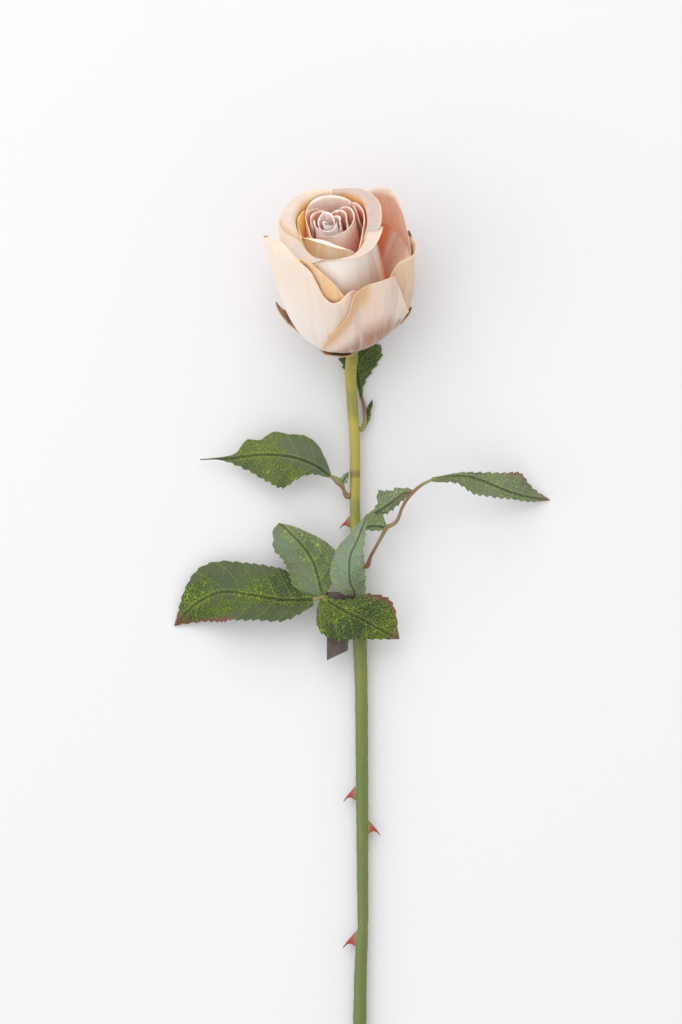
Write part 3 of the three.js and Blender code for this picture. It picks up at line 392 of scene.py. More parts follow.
def petal_material(
    name, outside, inside, lip, fold_shading_and_streak, margin,
    climb=(0.4, 0.72), margin_at=(-0.9, -0.4), margin_from=(0.5, 0.68), crease=None,
):
    n = Nodes("petal_" + name)
    u, v, _ = n.uv("place")
    side, seed, _ = n.uv("side")
    edge = n.math("ABSOLUTE", u)
    height = n.ramp(v, *climb)
    colour = n.mix(side, n.mix(height, *outside), n.mix(height, *inside))
    colour = n.mix(n.ramp(v, 0.75, 0.86), colour, lip)
    # The fold stripes are painted light and shade of the folds; the same pattern bumps the surface.
    folds = n.noise(1.7, 1, n.stretched(n.times(u, 3.2), v, seed))
    colour = n.tint(colour, n.ramp(folds, 0.46, 0.66), 0.7, fold_shading_and_streak)
    streaks = n.noise(4, 3, n.stretched(n.times(u, 9), v, seed))
    colour = n.tint(colour, n.ramp(streaks, 0.5, 0.75), 0.3, fold_shading_and_streak)
    clouds = n.noise(60)
    colour = n.tint(colour, n.ramp(clouds, 0.5, 0.8), 0.2, "#fff0e6")
    colour = n.tint(colour, n.ramp(u, *margin_at, 0.75, 0), n.ramp(v, *margin_from), margin)
    if crease:
        # One crease runs slantwise over the lip, shaded on the side of the heart.
        off = n.times(u, 0.45, n.math("SUBTRACT", v, 0.903))
        shaded = n.times(n.ramp(off, -0.07, 0), n.ramp(off, 0.01, 0))
        colour = n.tint(colour, shaded, n.ramp(edge, 0.16, 0.3, 0.75, 0), crease)
    rim = n.math("MAXIMUM", n.ramp(v, 0.965, 1), n.ramp(edge, 0.97, 1))
    colour = n.tint(colour, rim, 0.45, "#f6d0a8")
    weave = n.noise(2500, 1)
    fine = n.bump(n.times(streaks, 0.7, n.times(weave, 0.12)), 0.35, 0.0006)
    n.shade(
        Base_Color=colour, Roughness=0.55, Sheen_Weight=0.25, Sheen_Roughness=0.4, Subsurface_Weight=0.3,
        Subsurface_Radius=(0.006, 0.0035, 0.002), Subsurface_Scale=0.6,
        Normal=n.bump(folds, 0.5, 0.003, Normal=fine),
    )
    return n.material


def leaf_veins(n, across, along, place):
    """The fine net, the saw between the side veins, these veins, the midrib and the stripes beside it."""
    cells = {"Vector": place, "Scale": 950, "Randomness": 1}
    net = n.node("ShaderNodeTexVoronoi", cells, feature="DISTANCE_TO_EDGE").outputs["Distance"]
    # Side veins leave the midrib at a slant, one every few millimetres.
    off = n.math("ABSOLUTE", across)
    saw = n.math("PINGPONG", n.times(n.times(off, -0.75, along), 110), 0.5)
    beside = n.times(n.ramp(off, 0.0007, 0.0009), n.ramp(off, 0.0018, 0.0011))
    return n.ramp(net, 0.07, 0.012), saw, n.ramp(saw, 0.05, 0), n.ramp(off, 0.0007, 0.0002), beside


def leaf_material():
    n = Nodes("rose_leaf")
    across, along, _ = n.uv("blade")
    u, v, _ = n.uv("place")
    side, kind, _ = n.uv("side")
    place = n.stretched(across, along, kind)
    fine, saw, lateral, rib, beside = leaf_veins(n, across, along, place)
    # The side map's second value holds half the paleness, and another half where the margin is red.
    share = n.math("FRACT", kind)
    reddened = n.math("GREATER_THAN", share, 0.495)
    tone = n.math("FRACT", n.times(share, 2))
    # Smooth folds run along the blade between the netted parts. Their grey-green is painted reflection of
    # the leaf's gloss.
    fold = n.noise(1.4, 1, n.stretched(n.times(across, 60), n.times(along, 14), kind))
    smooth_fold_and_sheen = n.ramp(fold, 0.5, 0.62)
    blotch = n.noise(45, 3, place)
    spots = n.ramp(blotch, 0.35, 0.65)
    green = n.mix(tone, n.mix(spots, "#16220c", "#24360e"), n.mix(spots, "#607454", "#7c906c"))
    green = n.tint(green, smooth_fold_and_sheen, 0.7, n.mix(tone, "#3a4a30", "#8ca088"))
    vein = n.mix(n.ramp(blotch, 0.35, 0.6), "#7a9246", "#acca1e")
    vein = n.mix(n.ramp(tone, 0.2, 0.8), vein, "#b4c49a")
    colour = n.mix(n.times(fine, n.times(smooth_fold_and_sheen, -0.6, 0.9)), green, vein)
    colour = n.tint(colour, lateral, 0.32, "#a2ba3e")
    colour = n.tint(colour, beside, 0.14, "#acc054")
    colour = n.tint(colour, rib, 0.65, "#2c381e")
    edged = n.times(n.ramp(u, -0.74, -0.97), n.ramp(v, 0.4, 0.62))
    tip = n.ramp(v, 0.86, 1, 0, 0.8)
    red = n.times(n.math("MAXIMUM", edged, tip), n.times(reddened, 0.8, 0.12))
    colour = n.tint(n.mix(red, colour, "#7e3e3a"), side, 0.6, "#8a9468")
    veins = n.math("MAXIMUM", n.times(fine, 0.4), n.math("MAXIMUM", lateral, rib))
    n.shade(
        Base_Color=colour, Roughness=n.ramp(veins, 0, 1, 0.5, 0.65), Specular_IOR_Level=0.3,
        Subsurface_Weight=0.08, Subsurface_Scale=0.1,
        Normal=n.bump(n.times(saw, -1.6, veins), 0.7, 0.0007),
    )
    return n.material


JOINT_AT = 0.1068  # a brown ring round the stem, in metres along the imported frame's Y


def stem_material():
    n = Nodes("stem_bark")
    where = n.node("ShaderNodeSeparateXYZ", {0: n.position()}).outputs
    along = n.node("ShaderNodeMapping", {"Vector": n.position(), "Scale": (1, 0.06, 1)}).outputs[0]
    grain = n.noise(900, 4, along)
    mottle = n.noise(70, 3)
    colour = n.mix(n.ramp(where[1], -0.05, 0.19), "#606e30", "#b0a042")
    colour = n.tint(colour, n.ramp(mottle, 0.45, 0.7), 0.5, "#586e38")
    # Painted shade: the right side is browner and pinker.
    colour = n.tint(colour, n.ramp(where[0], 0.0005, 0.0045), 0.5, "#84684e")
    colour = n.tint(colour, n.ramp(grain, 0.55, 0.8), 0.3, "#a8a870")
    mark = n.math("ABSOLUTE", n.math("SUBTRACT", where[1], JOINT_AT))
    colour = n.tint(colour, n.ramp(mark, 0.0025, 0.001), 0.6, "#6c4e34")
    n.shade(Base_Color=colour, Roughness=0.45, Normal=n.bump(grain, 0.3, 0.0004))
    return n.material


def pith_material():
    n = Nodes("cut_pith")
    pores = n.noise(1200, 4)
    colour = n.mix(n.ramp(pores, 0.35, 0.7), "#c4c496", "#e0debc")
    n.shade(Base_Color=colour, Roughness=0.8)
    return n.material


def thorn_material():
    n = Nodes("thorn")
    _, along, _ = n.uv("rod")
    grain = n.noise(900, 3)
    colour = n.mix(n.ramp(along, 0, 2.5), "#787646", "#9e3432")
    colour = n.mix(n.ramp(along, 3.5, 7), colour, "#70544a")
    n.shade(Base_Color=colour, Roughness=0.5, Normal=n.bump(grain, 0.3, 0.0003))
    return n.material


def stalk_material():
    n = Nodes("leaf_stalk")
    grain = n.noise(500, 3)
    patch = n.noise(60)
    colour = n.mix(n.ramp(patch, 0.42, 0.6), "#7e4a3c", "#80804a")
    colour = n.tint(colour, grain, 0.3, "#a0a06e")
    n.shade(Base_Color=colour, Roughness=0.5, Normal=n.bump(grain, 0.4, 0.0004))
    return n.material


def sepal_material():
    n = Nodes("sepal")
    u, v, _ = n.uv("place")
    grain = n.noise(350, 4)
    colour = n.mix(n.ramp(v, 0.35, 0.8), "#848054", "#be967a")
    colour = n.mix(n.ramp(v, 0.88, 1), colour, "#605442")
    colour = n.mix(n.ramp(n.math("ABSOLUTE", u), 0.6, 1), colour, "#cea486")
    colour = n.tint(colour, grain, 0.45, "#686842")
    n.shade(Base_Color=colour, Roughness=0.6, Normal=n.bump(grain, 0.5, 0.0005))
    return n.material


def label_material():
    n = Nodes("label_strip")
    fibre = n.noise(1500, 3)
    wear = n.noise(120)
    colour = n.mix(n.ramp(wear, 0.4, 0.7), "#544846", "#685a56")
    n.shade(Base_Color=colour, Roughness=0.45, Normal=n.bump(fibre, 0.25, 0.0003))
    return n.material


def floor_material():
    n = Nodes("pale_table")
    n.shade(Base_Color=rgb("#dcdcde"), Roughness=0.9)
    return n.material


PETALS_PAINTED = [petal_material(name, **paint) for name, paint in PETAL_PAINTS.items()]
LEAF = leaf_material()
BARK = stem_material()
PITH = pith_material()
THORN = thorn_material()
STALK = stalk_material()
SEPAL = sepal_material()
LABEL = label_material()


# Bloom

def bloom_frame():
    """The bloom's own directions: right, up its axis, and front."""
    tilt, lean = math.radians(BLOOM_TILT), math.radians(BLOOM_LEAN)
    right = np.array([math.cos(lean), math.sin(lean), 0])
    up = np.array([-math.sin(lean) * math.cos(tilt), math.cos(lean) * math.cos(tilt), math.sin(tilt)])
    return np.stack([right, up, np.cross(right, up)])


def in_bloom(points):
    """Points of the bloom's own frame, as drawn."""
    return points @ bloom_frame() + BLOOM_BASE


# Each petal's body is a section from the seat up its wall: three more points (radius, height) of a cubic.
# rim: places along its edge from left to right, each with the azimuth (0 is the front, 90 the right), the
# height and radius of the fold there and, where they differ from the petal's lip, the length of the lip past
# the fold and its last slope (90 is level). roll: radius of the fold. left: the section of its left side.
# narrow: how much narrower its foot is.
OUTER = ((32.5, 1.5), (30, 27), (34.4, 75))
RIGHT = ((31.5, 1.5), (36.5, 22), (38.5, 52))
BACK = ((39.5, 1.5), (38, 27), (32, 70))
PLAIN_LIP = (1, 30)
PETALS = [
    dict(  # left
        paint="left", body=OUTER, roll=4, narrow=0.2,
        rim=[
            (-122, 40, 32), (-108, 60, 32.5, 2, 40), (-94, 71, 34), (-84, 75, 35, 1, 40),
            (-74, 79, 33, 1, 40), (-61, 80, 30.5, 1, 40), (-46, 76.5, 30.5, 1, 40), (-36, 73.5, 31),
            (-28, 69.5, 31), (-23, 62, 31.2), (-18.5, 53.5, 31.2), (-12, 48.8, 31.2), (-4, 49.8, 31.2),
            (4, 54, 31.2), (12, 54, 31), (17, 44, 30.6), (19, 32, 30),
        ],
    ),
    dict(  # front right
        paint="front", body=OUTER, roll=3, narrow=0.25,
        rim=[
            (-30, 16, 29.8, 1, 40), (-14, 29, 31.8, 1.5, 50), (1, 41.5, 33.4, 2.5, 70), (5, 49, 34, 3, 75),
            (10, 55, 34, 2.5, 60), (21, 57.5, 34, 2, 50), (32, 57, 34.8, 1.5, 40), (41, 56, 35.2),
            (47, 54, 35.4), (51, 46, 35.4), (56, 34, 35.2), (62, 22, 34.4),
        ],
    ),
    dict(  # right
        paint="right", left=((31, 1.5), (30, 27), (32.5, 60)), body=RIGHT, roll=5, narrow=0.15,
        rim=[
            (38, 48, 33.5), (48, 55, 34, 1.5, 40), (56, 57.5, 34.8, 2.5, 60), (64, 55.5, 36, 3, 70),
            (76, 51.5, 38, 3, 70), (90, 48, 38.6, 3, 70), (101, 47.5, 38, 2, 60), (112, 46, 37, 1, 40),
            (124, 38, 35.5),
        ],
    ),
    dict(  # tall, back right
        paint="tall", body=((36, 1.5), (36, 27), (34.5, 75)), roll=3, narrow=0.2,
        rim=[
            (84, 40, 35.5), (94, 48, 36.2), (99, 57, 36.3), (102, 66, 36, 1.5, 40),
            (108, 70, 35.6, 2.5, 60), (117, 70.2, 34.8, 4, 85), (125, 69.5, 33.8, 5, 90),
            (133, 68, 32.8, 5, 90), (141, 66, 31.5, 5, 80), (150, 64, 30.5, 5, 70), (165, 61, 30, 4, 60),
        ],
    ),
    dict(  # back
        paint="tall", body=BACK, roll=5, narrow=0.2,
        rim=[
            (135, 48, 33, 2, 40), (150, 59, 32, 3, 50), (166, 63, 31.5, 4, 60), (182, 63.5, 31.5, 4, 60),
            (198, 61, 32, 3, 50), (212, 50, 33, 2, 40),
        ],
    ),
    dict(  # back left
        paint="tall", body=((33, 1.5), (30, 27), (30, 70)), roll=5, narrow=0.2,
        rim=[
            (-176, 46, 30, 2, 40), (-162, 58, 30, 3, 50), (-148, 63, 29.5, 3, 60), (-134, 64, 29, 3, 60),
            (-120, 61, 29, 2, 50), (-108, 52, 29.5, 1, 40), (-98, 40, 29.5),
        ],
    ),
    dict(  # between the left and the front petal
        paint="between", body=((30.5, 1.5), (29, 27), (29.6, 74)), roll=3, narrow=0.2,
        rim=[
            (-70, 60, 29.3), (-52, 70, 29.3), (-38, 74, 29.3), (-28, 73.5, 29.4),
            (-19, 68.5, 29.5, 1.2, 40), (-8, 60, 29.6, 1.2, 40), (0, 51.5, 29.8, 1.2, 40), (8, 42, 30),
            (18, 32, 29.5),
        ],
    ),
    dict(  # third layer, left
        paint="creased", body=((29, 2), (27, 30), (19, 77)), roll=2.2, lip=(11.5, 105),
        rim=[
            (-188, 72.5, 22.5, 3, 85), (-172, 74.5, 22, 4, 88), (-154, 75.5, 21, 5.5, 90),
            (-134, 76, 19.8, 7, 92), (-110, 76, 18.6, 9.5, 96), (-86, 76, 18.2), (-66, 74.5, 19),
            (-49, 72, 20.6, 10.5, 103), (-36, 71.3, 22, 9, 100), (-27, 71, 22.8, 6.5, 98),
            (-18, 70.5, 23, 3.5, 95), (-8, 69.5, 22.8, 1.2, 70),
        ],
    ),
    dict(  # third layer, front right
        paint="face", left=((29, 2), (28.5, 30), (24, 72)), body=((24, 2), (23, 30), (19, 72)), roll=2.2,
        narrow=0.1,
        rim=[
            (-36, 62, 28.6, 0.6, 40), (-31, 71, 29, 0.8, 60), (-25, 72, 27.8, 1, 80),
            (-14, 72.6, 25.8, 1.8, 90), (2, 71.6, 24.2, 3, 95), (18, 70.2, 23, 5, 98),
            (34, 70, 21.2, 7, 98), (48, 70.6, 19.6, 8.5, 97), (61, 71.6, 18.5, 9, 96),
            (72, 71.8, 18.4, 8.5, 95), (79, 69, 19, 6.5, 90), (80, 64, 19.8, 2.5, 60), (77, 56, 20.2),
            (72, 45, 20.4), (66, 34, 20),
        ],
    ),
    dict(  # third layer, back right
        paint="back", left=((22, 2), (21, 30), (16.5, 72)), body=((25.5, 2), (24, 30), (18, 75)), roll=2.2,
        rim=[
            (46, 62, 17, 0.8, 30), (58, 70, 17, 5, 85), (70, 73, 17.4, 8.5, 93), (84, 75, 17.8, 9, 93),
            (98, 76.2, 18.2, 8.8, 90), (114, 76.3, 18.9, 7.6, 88), (134, 76, 20.3, 6, 85),
            (156, 74.5, 21.8, 4, 85), (174, 73.5, 22.8, 3, 85),
        ],
    ),
    dict(  # golden lining inside the third layer's left petal
        paint="lining", body=((12, 2), (9, 40), (17.2, 75)), roll=2, lip=(0.8, 30),
        rim=[
            (-152, 68, 20), (-140, 72.5, 19.4), (-122, 74, 18.2), (-104, 74.2, 17.5), (-86, 73.8, 17.3),
            (-66, 72, 17.8), (-50, 66, 18.4),
        ],
    ),
    dict(  # lining between the third layer and the right petals
        paint="shade", body=((14, 2), (22, 34), (34, 56)), roll=2, lip=(0.8, 30),
        rim=[
            (62, 47, 31.6), (74, 46, 33.4), (88, 45, 34.8), (104, 46, 35.2), (120, 48, 34.6),
            (136, 48, 33.6), (152, 46, 32.6),
        ],
    ),
    dict(  # second layer, left
        paint="glowing", body=((21, 2), (18, 30), (12, 74)), roll=2, lip=(1, 40),
        rim=[
            (-176, 66, 19, 0.8, 30), (-156, 70.5, 18.4), (-136, 72.5, 16.6), (-118, 72.5, 14.4),
            (-98, 71.6, 12.4), (-76, 70.5, 11.6), (-52, 68, 11.5, 0.8, 30),
        ],
    ),
    dict(  # second layer, front
        paint="band", body=((25, 2), (23, 30), (15, 74)), roll=2,
        rim=[
            (-94, 68.5, 18, 0.8, 40), (-80, 70, 16.6, 2, 80), (-64, 71.2, 13.4, 3.5, 95),
            (-42, 72, 11.8, 4.8, 98), (-18, 72, 12.4, 4.8, 98), (4, 71.2, 14.8, 4.4, 98),
            (18, 70, 17.8, 3, 95), (29, 67, 20.2, 1, 50),
        ],
    ),
    dict(  # second layer, right
        paint="glowing", body=((25, 2), (23, 30), (16.5, 74)), roll=2,
        rim=[
            (22, 62, 19, 0.8, 20), (38, 68, 17.8, 0.8, 30), (54, 71, 16.6), (72, 73, 15.8, 1.2, 40),
            (92, 74.4, 15.8, 1.2, 40), (112, 75, 16.8, 1.2, 40), (132, 74.8, 17.6, 1, 40), (148, 72, 17.6),
        ],
    ),
    dict(  # second layer, back
        paint="second", body=((24, 2), (22, 30), (18.5, 77)), roll=2.5,
        rim=[
            (108, 67.5, 14.4, 0.8, 20), (126, 71.3, 15.8, 0.8, 30), (148, 73.6, 18, 1.4, 40),
            (172, 74.6, 19, 1.8, 50), (196, 74.8, 19, 1.8, 50), (216, 74.4, 17.8, 1.4, 40),
            (238, 72.6, 15.4),
        ],
    ),
    dict(  # first layer, front right
        paint="first", body=((17, 2), (15, 30), (10.5, 72)), roll=2,
        rim=[
            (-62, 66.5, 7.6, 0.8, 30), (-34, 68.4, 8, 1.2, 50), (-8, 69.2, 8.4, 1.5, 60),
            (18, 69.2, 9, 1.5, 60), (42, 69.2, 10, 1.4, 60), (62, 70.2, 11.8, 1.2, 50),
            (80, 72.2, 13.2, 1, 40), (100, 73.8, 13.4, 1, 40), (120, 73.8, 12.8, 1, 40),
            (140, 71.5, 12, 0.8, 30),
        ],
    ),
    dict(  # first layer, right
        paint="first", body=((15, 2), (13, 30), (9, 72)), roll=2,
        rim=[
            (48, 65, 10.2, 0.8, 30), (66, 69.5, 10.4, 1, 40), (84, 72, 9.9, 1, 50),
            (104, 73.3, 9.6, 1.2, 50), (124, 73.6, 8.8, 1.2, 50), (144, 72.4, 7.6, 1, 40),
            (164, 70, 6.8, 0.8, 30),
        ],
    ),
    dict(  # first layer, back left
        paint="first", body=((15, 2), (13, 30), (8, 72)), roll=2,
        rim=[
            (152, 68, 6.4, 0.8, 30), (178, 71.5, 7, 1, 40), (204, 73, 7.8, 1.2, 50),
            (230, 73.4, 8.2, 1.2, 50), (254, 72.6, 8, 1, 40), (278, 70, 7.6, 0.8, 30),
        ],
    ),
    dict(  # heart, pale front
        paint="heart", body=((10, 2), (9, 30), (5.4, 70)), roll=1.5,
        rim=[
            (-112, 72, 6.6, 0.8, 30), (-88, 73, 6.4, 1, 50), (-58, 71.4, 5.8, 1.6, 70),
            (-24, 69.8, 5, 2, 80), (12, 69.6, 4.8, 2, 80), (46, 70.6, 5, 1.6, 70), (76, 71.5, 5, 0.8, 30),
        ],
    ),
    dict(  # heart, right
        paint="heart", body=((10, 2), (9, 30), (6.2, 72)), roll=1.5,
        rim=[
            (40, 66, 6.4, 0.6, 30), (62, 69.5, 6.6, 1, 50), (84, 71.8, 6.5, 1.2, 60),
            (108, 72.6, 6, 1.2, 60), (130, 72, 5.2, 0.6, 30),
        ],
    ),
    dict(  # heart, white cup
        paint="heart", body=((8, 2), (7, 30), (3.6, 71)), roll=1.2,
        rim=[
            (36, 69.4, 3.4, 0.5, 30), (84, 71, 3.8, 0.8, 50), (132, 73, 3.9, 1, 60),
            (180, 74.6, 3.7, 1, 60), (226, 73.6, 4.3, 1, 60), (268, 71.8, 4.4, 0.8, 50),
            (306, 70, 4, 0.5, 30),
        ],
    ),
    dict(  # innermost curl
        paint="heart", body=((5, 2), (4, 30), (1.5, 70)), roll=1,
        rim=[
            (150, 69, 1.7, 0.4, 30), (215, 71, 1.7, 0.8, 60), (280, 71.6, 1.8, 1, 80),
            (345, 71, 1.9, 1, 80), (410, 70.2, 2.1, 0.8, 60), (470, 69, 2.2, 0.4, 30),
        ],
    ),
]
LAYERS = {  # number of the first petal, number after the last, how far their tops move right and forward
    "petals_outer": (0, 7, (0, 0)),
    "petals_middle": (7, 16, (0, 0)),
    "petals_heart": (16, 23, (-2.5, -4.4)),
}
PETAL_SEAT = (5.5, 1.5)  # radius and height where each section starts
FOLD_SHARE = 0.78  # share of the rows below the fold of the rim
WALL_ROWS = 32
LIP_ROWS = 16
PETAL_COLUMNS = 64
STRIPE_STEP = 3.7  # sets each petal's stripes apart from the next one's


def section(body, t):
    """Radius, height and lean of a petal's section, a cubic curve from the seat up its wall."""
    points = np.array([PETAL_SEAT, *body], float)
    s = 1 - t
    weights = np.stack([s**3, 3 * s * s * t, 3 * s * t * t, t**3], axis=-1)
    slopes = np.stack([-3 * s * s, 3 * s * s - 6 * s * t, 6 * s * t - 3 * t * t, 3 * t * t], axis=-1)
    place, way = weights @ points, slopes @ points
    return place[..., 0], place[..., 1], np.arctan2(way[..., 0], way[..., 1])


def petal_points(p, right, front):
    """The middle surface of one petal in the bloom's frame, its texture places and its thickness."""
    u = np.linspace(-1, 1, PETAL_COLUMNS)[None, :]
    wall_rows = np.linspace(0, FOLD_SHARE, WALL_ROWS)
    lip_rows = np.linspace(FOLD_SHARE, 1, LIP_ROWS + 1)[1:]
    v = np.concatenate([wall_rows, lip_rows])[:, None]
    rim = np.array([(*place, *p.get("lip", PLAIN_LIP))[:5] for place in p["rim"]], float)
    azimuth, top, reach, lip, slope = (even_spline(values, (u + 1) / 2) for values in rim.T)
    steps = np.linspace(0, 1.15, 400)
    right_share = ease(u, -1, 0)
    r = h = lean = spread = 0
    for body, part in ((p["body"], right_share), (p.get("left", p["body"]), 1 - right_share)):
        wall, height, _ = section(body, steps)
        t = np.interp(top, height, steps) * np.minimum(v / FOLD_SHARE, 1)
        r, h, lean = (old + part * new for old, new in zip((r, h, lean), section(body, t)))
        spread = spread + part * (reach - np.interp(top, height, wall))
    share = np.clip(h / top, 0, 1)
    wave = 0.3 * np.sin(6.5 * u + 4 * v + azimuth[0, 0]) * ease(share, 0.35, 1)
    r = r + spread * share**2 + wave
    lean = lean + np.arctan2(2 * spread * share, top)
    past = np.maximum(0, (v - FOLD_SHARE) / (1 - FOLD_SHARE)) * lip
    turned = np.minimum(lean + past / p["roll"], np.maximum(np.radians(slope), lean))
    straight = past - (turned - lean) * p["roll"]
    r = r + p["roll"] * (np.cos(lean) - np.cos(turned)) + straight * np.sin(turned)
    h = h + p["roll"] * (np.sin(turned) - np.sin(lean)) + straight * np.cos(turned)
    middle = (azimuth[0, 0] + azimuth[0, -1]) / 2
    azimuth = np.radians(middle + (azimuth - middle) * (1 - p.get("narrow", 0) * (1 - share) ** 2))
    points = grid(r * np.sin(azimuth) + right * share, h, r * np.cos(azimuth) + front * share)
    thickness = PETAL_THICKNESS * (1 - 0.55 * np.maximum(ease(v, 0.85, 1), ease(np.abs(u), 0.85, 1)))
    return points, grid(u, v), thickness


def bloom_pieces():
    paints = list(PETAL_PAINTS)
    for name, (first, end, slide) in LAYERS.items():
        b = Builder()
        for number in range(first, end):
            petal = PETALS[number]
            points, place, thickness = petal_points(petal, *slide)
            paint = paints.index(petal["paint"])
            b.sheet(in_bloom(points), thickness, paint, {"place": place}, number * STRIPE_STEP)
        piece = b.finish(name, PETALS_PAINTED)
        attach(piece, "root")
        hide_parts("bloom")


# Stem

STEM = [  # middle and radius, from the cut end to the neck
    (-0.6, 0, 3.45, 3.4), (-0.1, 84, 3.9, 3.3), (0.5, 113, 4.0, 3.1), (1.45, 130.5, 4.1, 2.65),
    (1.35, 148, 4.2, 2.8), (1.1, 194.5, 4.5, 3.1), (0.6, 252.5, 5.0, 3.2), (0, 272, 5.2, 3.5),
    (-0.1, 294, 5.3, 3.1), (-0.75, 311.5, 5.4, 2.9), (-2.15, 329.5, 5.6, 2.7), (-2.6, 343.5, 5.7, 2.55),
    (-2.5, 370.5, 5.8, 2.6), (-3.85, 393, 5.9, 2.75), (-4.6, 408, 5.8, 2.9),
]
HIP_HEIGHT = 10
STEM_TOP_RADIUS = 3.1
NECK_BEND = 2.5
CUT_SLANT = 35
CUT_AT = (3, 3.4)  # along and up, a place on the cut
CUT_PAST = 12  # from here on the rings stand square to the stem
BARK_STEPS = 400
BARK_SIDES = 28
THORNS = [(333, 180, 0.85), (197, 180, 1), (180, 0, 0.95), (124, 180, 1.1), (52, 0, 1)]  # along, angle, size
THORN_SIDES = 14
THORN_STEPS = 15
THORN_RINGS = [  # out from the bark, half length, half width, hook towards the cut end
    (-1.8, 4.9, 1.5, -0.3), (0.8, 3.2, 1.25, 0), (2.6, 1.5, 0.8, 0.5), (4.4, 0.7, 0.5, 1.7),
    (6.2, 0.35, 0.35, 4),
]


def stem_at(y):
    """The stem's middle at a place along it, and its radius there."""
    columns = np.array(STEM).T
    *middle, radius = (np.interp(y, columns[1], column) for column in columns)
    return np.array(middle), radius


def way_out(angle):
    """The direction out of the stem at an angle in degrees, 0 at the right and 90 up."""
    return np.array([math.cos(math.radians(angle)), 0, math.sin(math.radians(angle))])


def bark(b):
    up = bloom_frame()[1]
    top = BLOOM_BASE - up * (HIP_HEIGHT + 0.3)
    line = np.array([s[:3] for s in STEM] + [top - up * NECK_BEND, top])
    radii = [s[3] for s in STEM] + [STEM_TOP_RADIUS] * 2
    at, length = smooth_path(line)
    places = lengths_along(line)
    s = np.linspace(0, 1, BARK_STEPS + 1)
    centre = at(s)
    radius = np.interp(s, places / places[-1], radii)
    radius += 0.06 * np.sin(centre[:, 1] * 0.9) + 0.05 * np.sin(centre[:, 1] * 0.37 + 1)
    tangent = unit(np.gradient(centre, axis=0))
    side = unit(np.cross(tangent, [0, 0, 1.0]))
    other = np.cross(side, tangent)
    turn = full_turn(BARK_SIDES)[:, None]
    ring = np.cos(turn) * side[:, None] + np.sin(turn) * other[:, None]
    rings = centre[:, None] + radius[:, None, None] * ring
    # The slanted cut: each line of points along the stem starts on the cut's plane.
    along = rings[..., 1]
    plane = CUT_AT[0] + (rings[..., 2] - CUT_AT[1]) * math.tan(math.radians(CUT_SLANT))
    share = (along - along[0]) / (CUT_PAST - along[0])
    rings[..., 1] = np.where(along < CUT_PAST, plane + share * (CUT_PAST - plane), along)
    b.rings(rings[:, ::-1], 0, "rod", s * length, first_cap=2)


def thorn(b, y, angle, size):
    middle, radius = stem_at(y)
    out = way_out(angle)
    across = np.array([-out[2], 0, out[0]])
    reach, half_length, half_width, hook = resampled(THORN_RINGS, THORN_STEPS) * size
    turn = full_turn(THORN_SIDES)
    rings = (
        middle
        + out * (radius + reach)[:, None, None]
        + across * (half_width[:, None] * np.cos(turn))[..., None]
        + np.array([0, 1, 0]) * (half_length[:, None] * np.sin(turn) - hook[:, None])[..., None]
    )
    b.rings(rings, 1, "rod", reach)


def stem_piece():
    b = Builder()
    bark(b)
    for place in THORNS:
        thorn(b, *place)
    piece = b.finish("stem_bark", [BARK, THORN, PITH])
    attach(piece, "root")
    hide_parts("stem")


# Leaves. foot: where a stalk starts on the bark, as the place along the stem and the angle round it.
# rib: points of a leaflet's midrib from base to tip. left, right: half widths as seen from above, evenly
# spaced from base to tip. tone: how pale it is. red: whether its margin is. teeth: how deep the teeth of
# each half are. lift: how steeply each half rises from the midrib.

STALKS = [  # leaf, foot, radii, path
    (
        "leaf_behind_bloom", (379.5, -12), (1.2, 0.9, 0.75),
        [(2.6, 384, 3.4), (2.2, 390, 2.2), (0.8, 396, 1.2)],
    ),
    (
        "leaf_upper_left", (346, 170), (1.6, 0.9, 1.9, 0.8),
        [(-9, 351, 8.6), (-12.5, 354.6, 10.5), (-15, 356, 12)],
    ),
    (
        "leaf_right", (311, 20), (1.4, 0.9, 0.8, 0.9, 1.2),
        [(5.5, 316, 9.5), (8.5, 321.5, 12.5), (11.5, 327, 15.5), (13.2, 330.3, 17)],
    ),
    (
        "leaf_right", None, (1.1, 0.8, 0.9, 0.7),
        [(13.2, 330.3, 17), (18, 333, 19.5), (21, 340, 22.5), (24, 345, 25), (30, 351, 28), (36, 354.2, 30)],
    ),
    (
        "leaf_lower", (294, 140), (1.5, 0.9, 0.9, 1.1, 0.8),
        [(-6, 294.8, 10), (-11, 295.3, 11.8), (-19, 295.4, 14.5), (-23.5, 294.2, 15)],
    ),
]
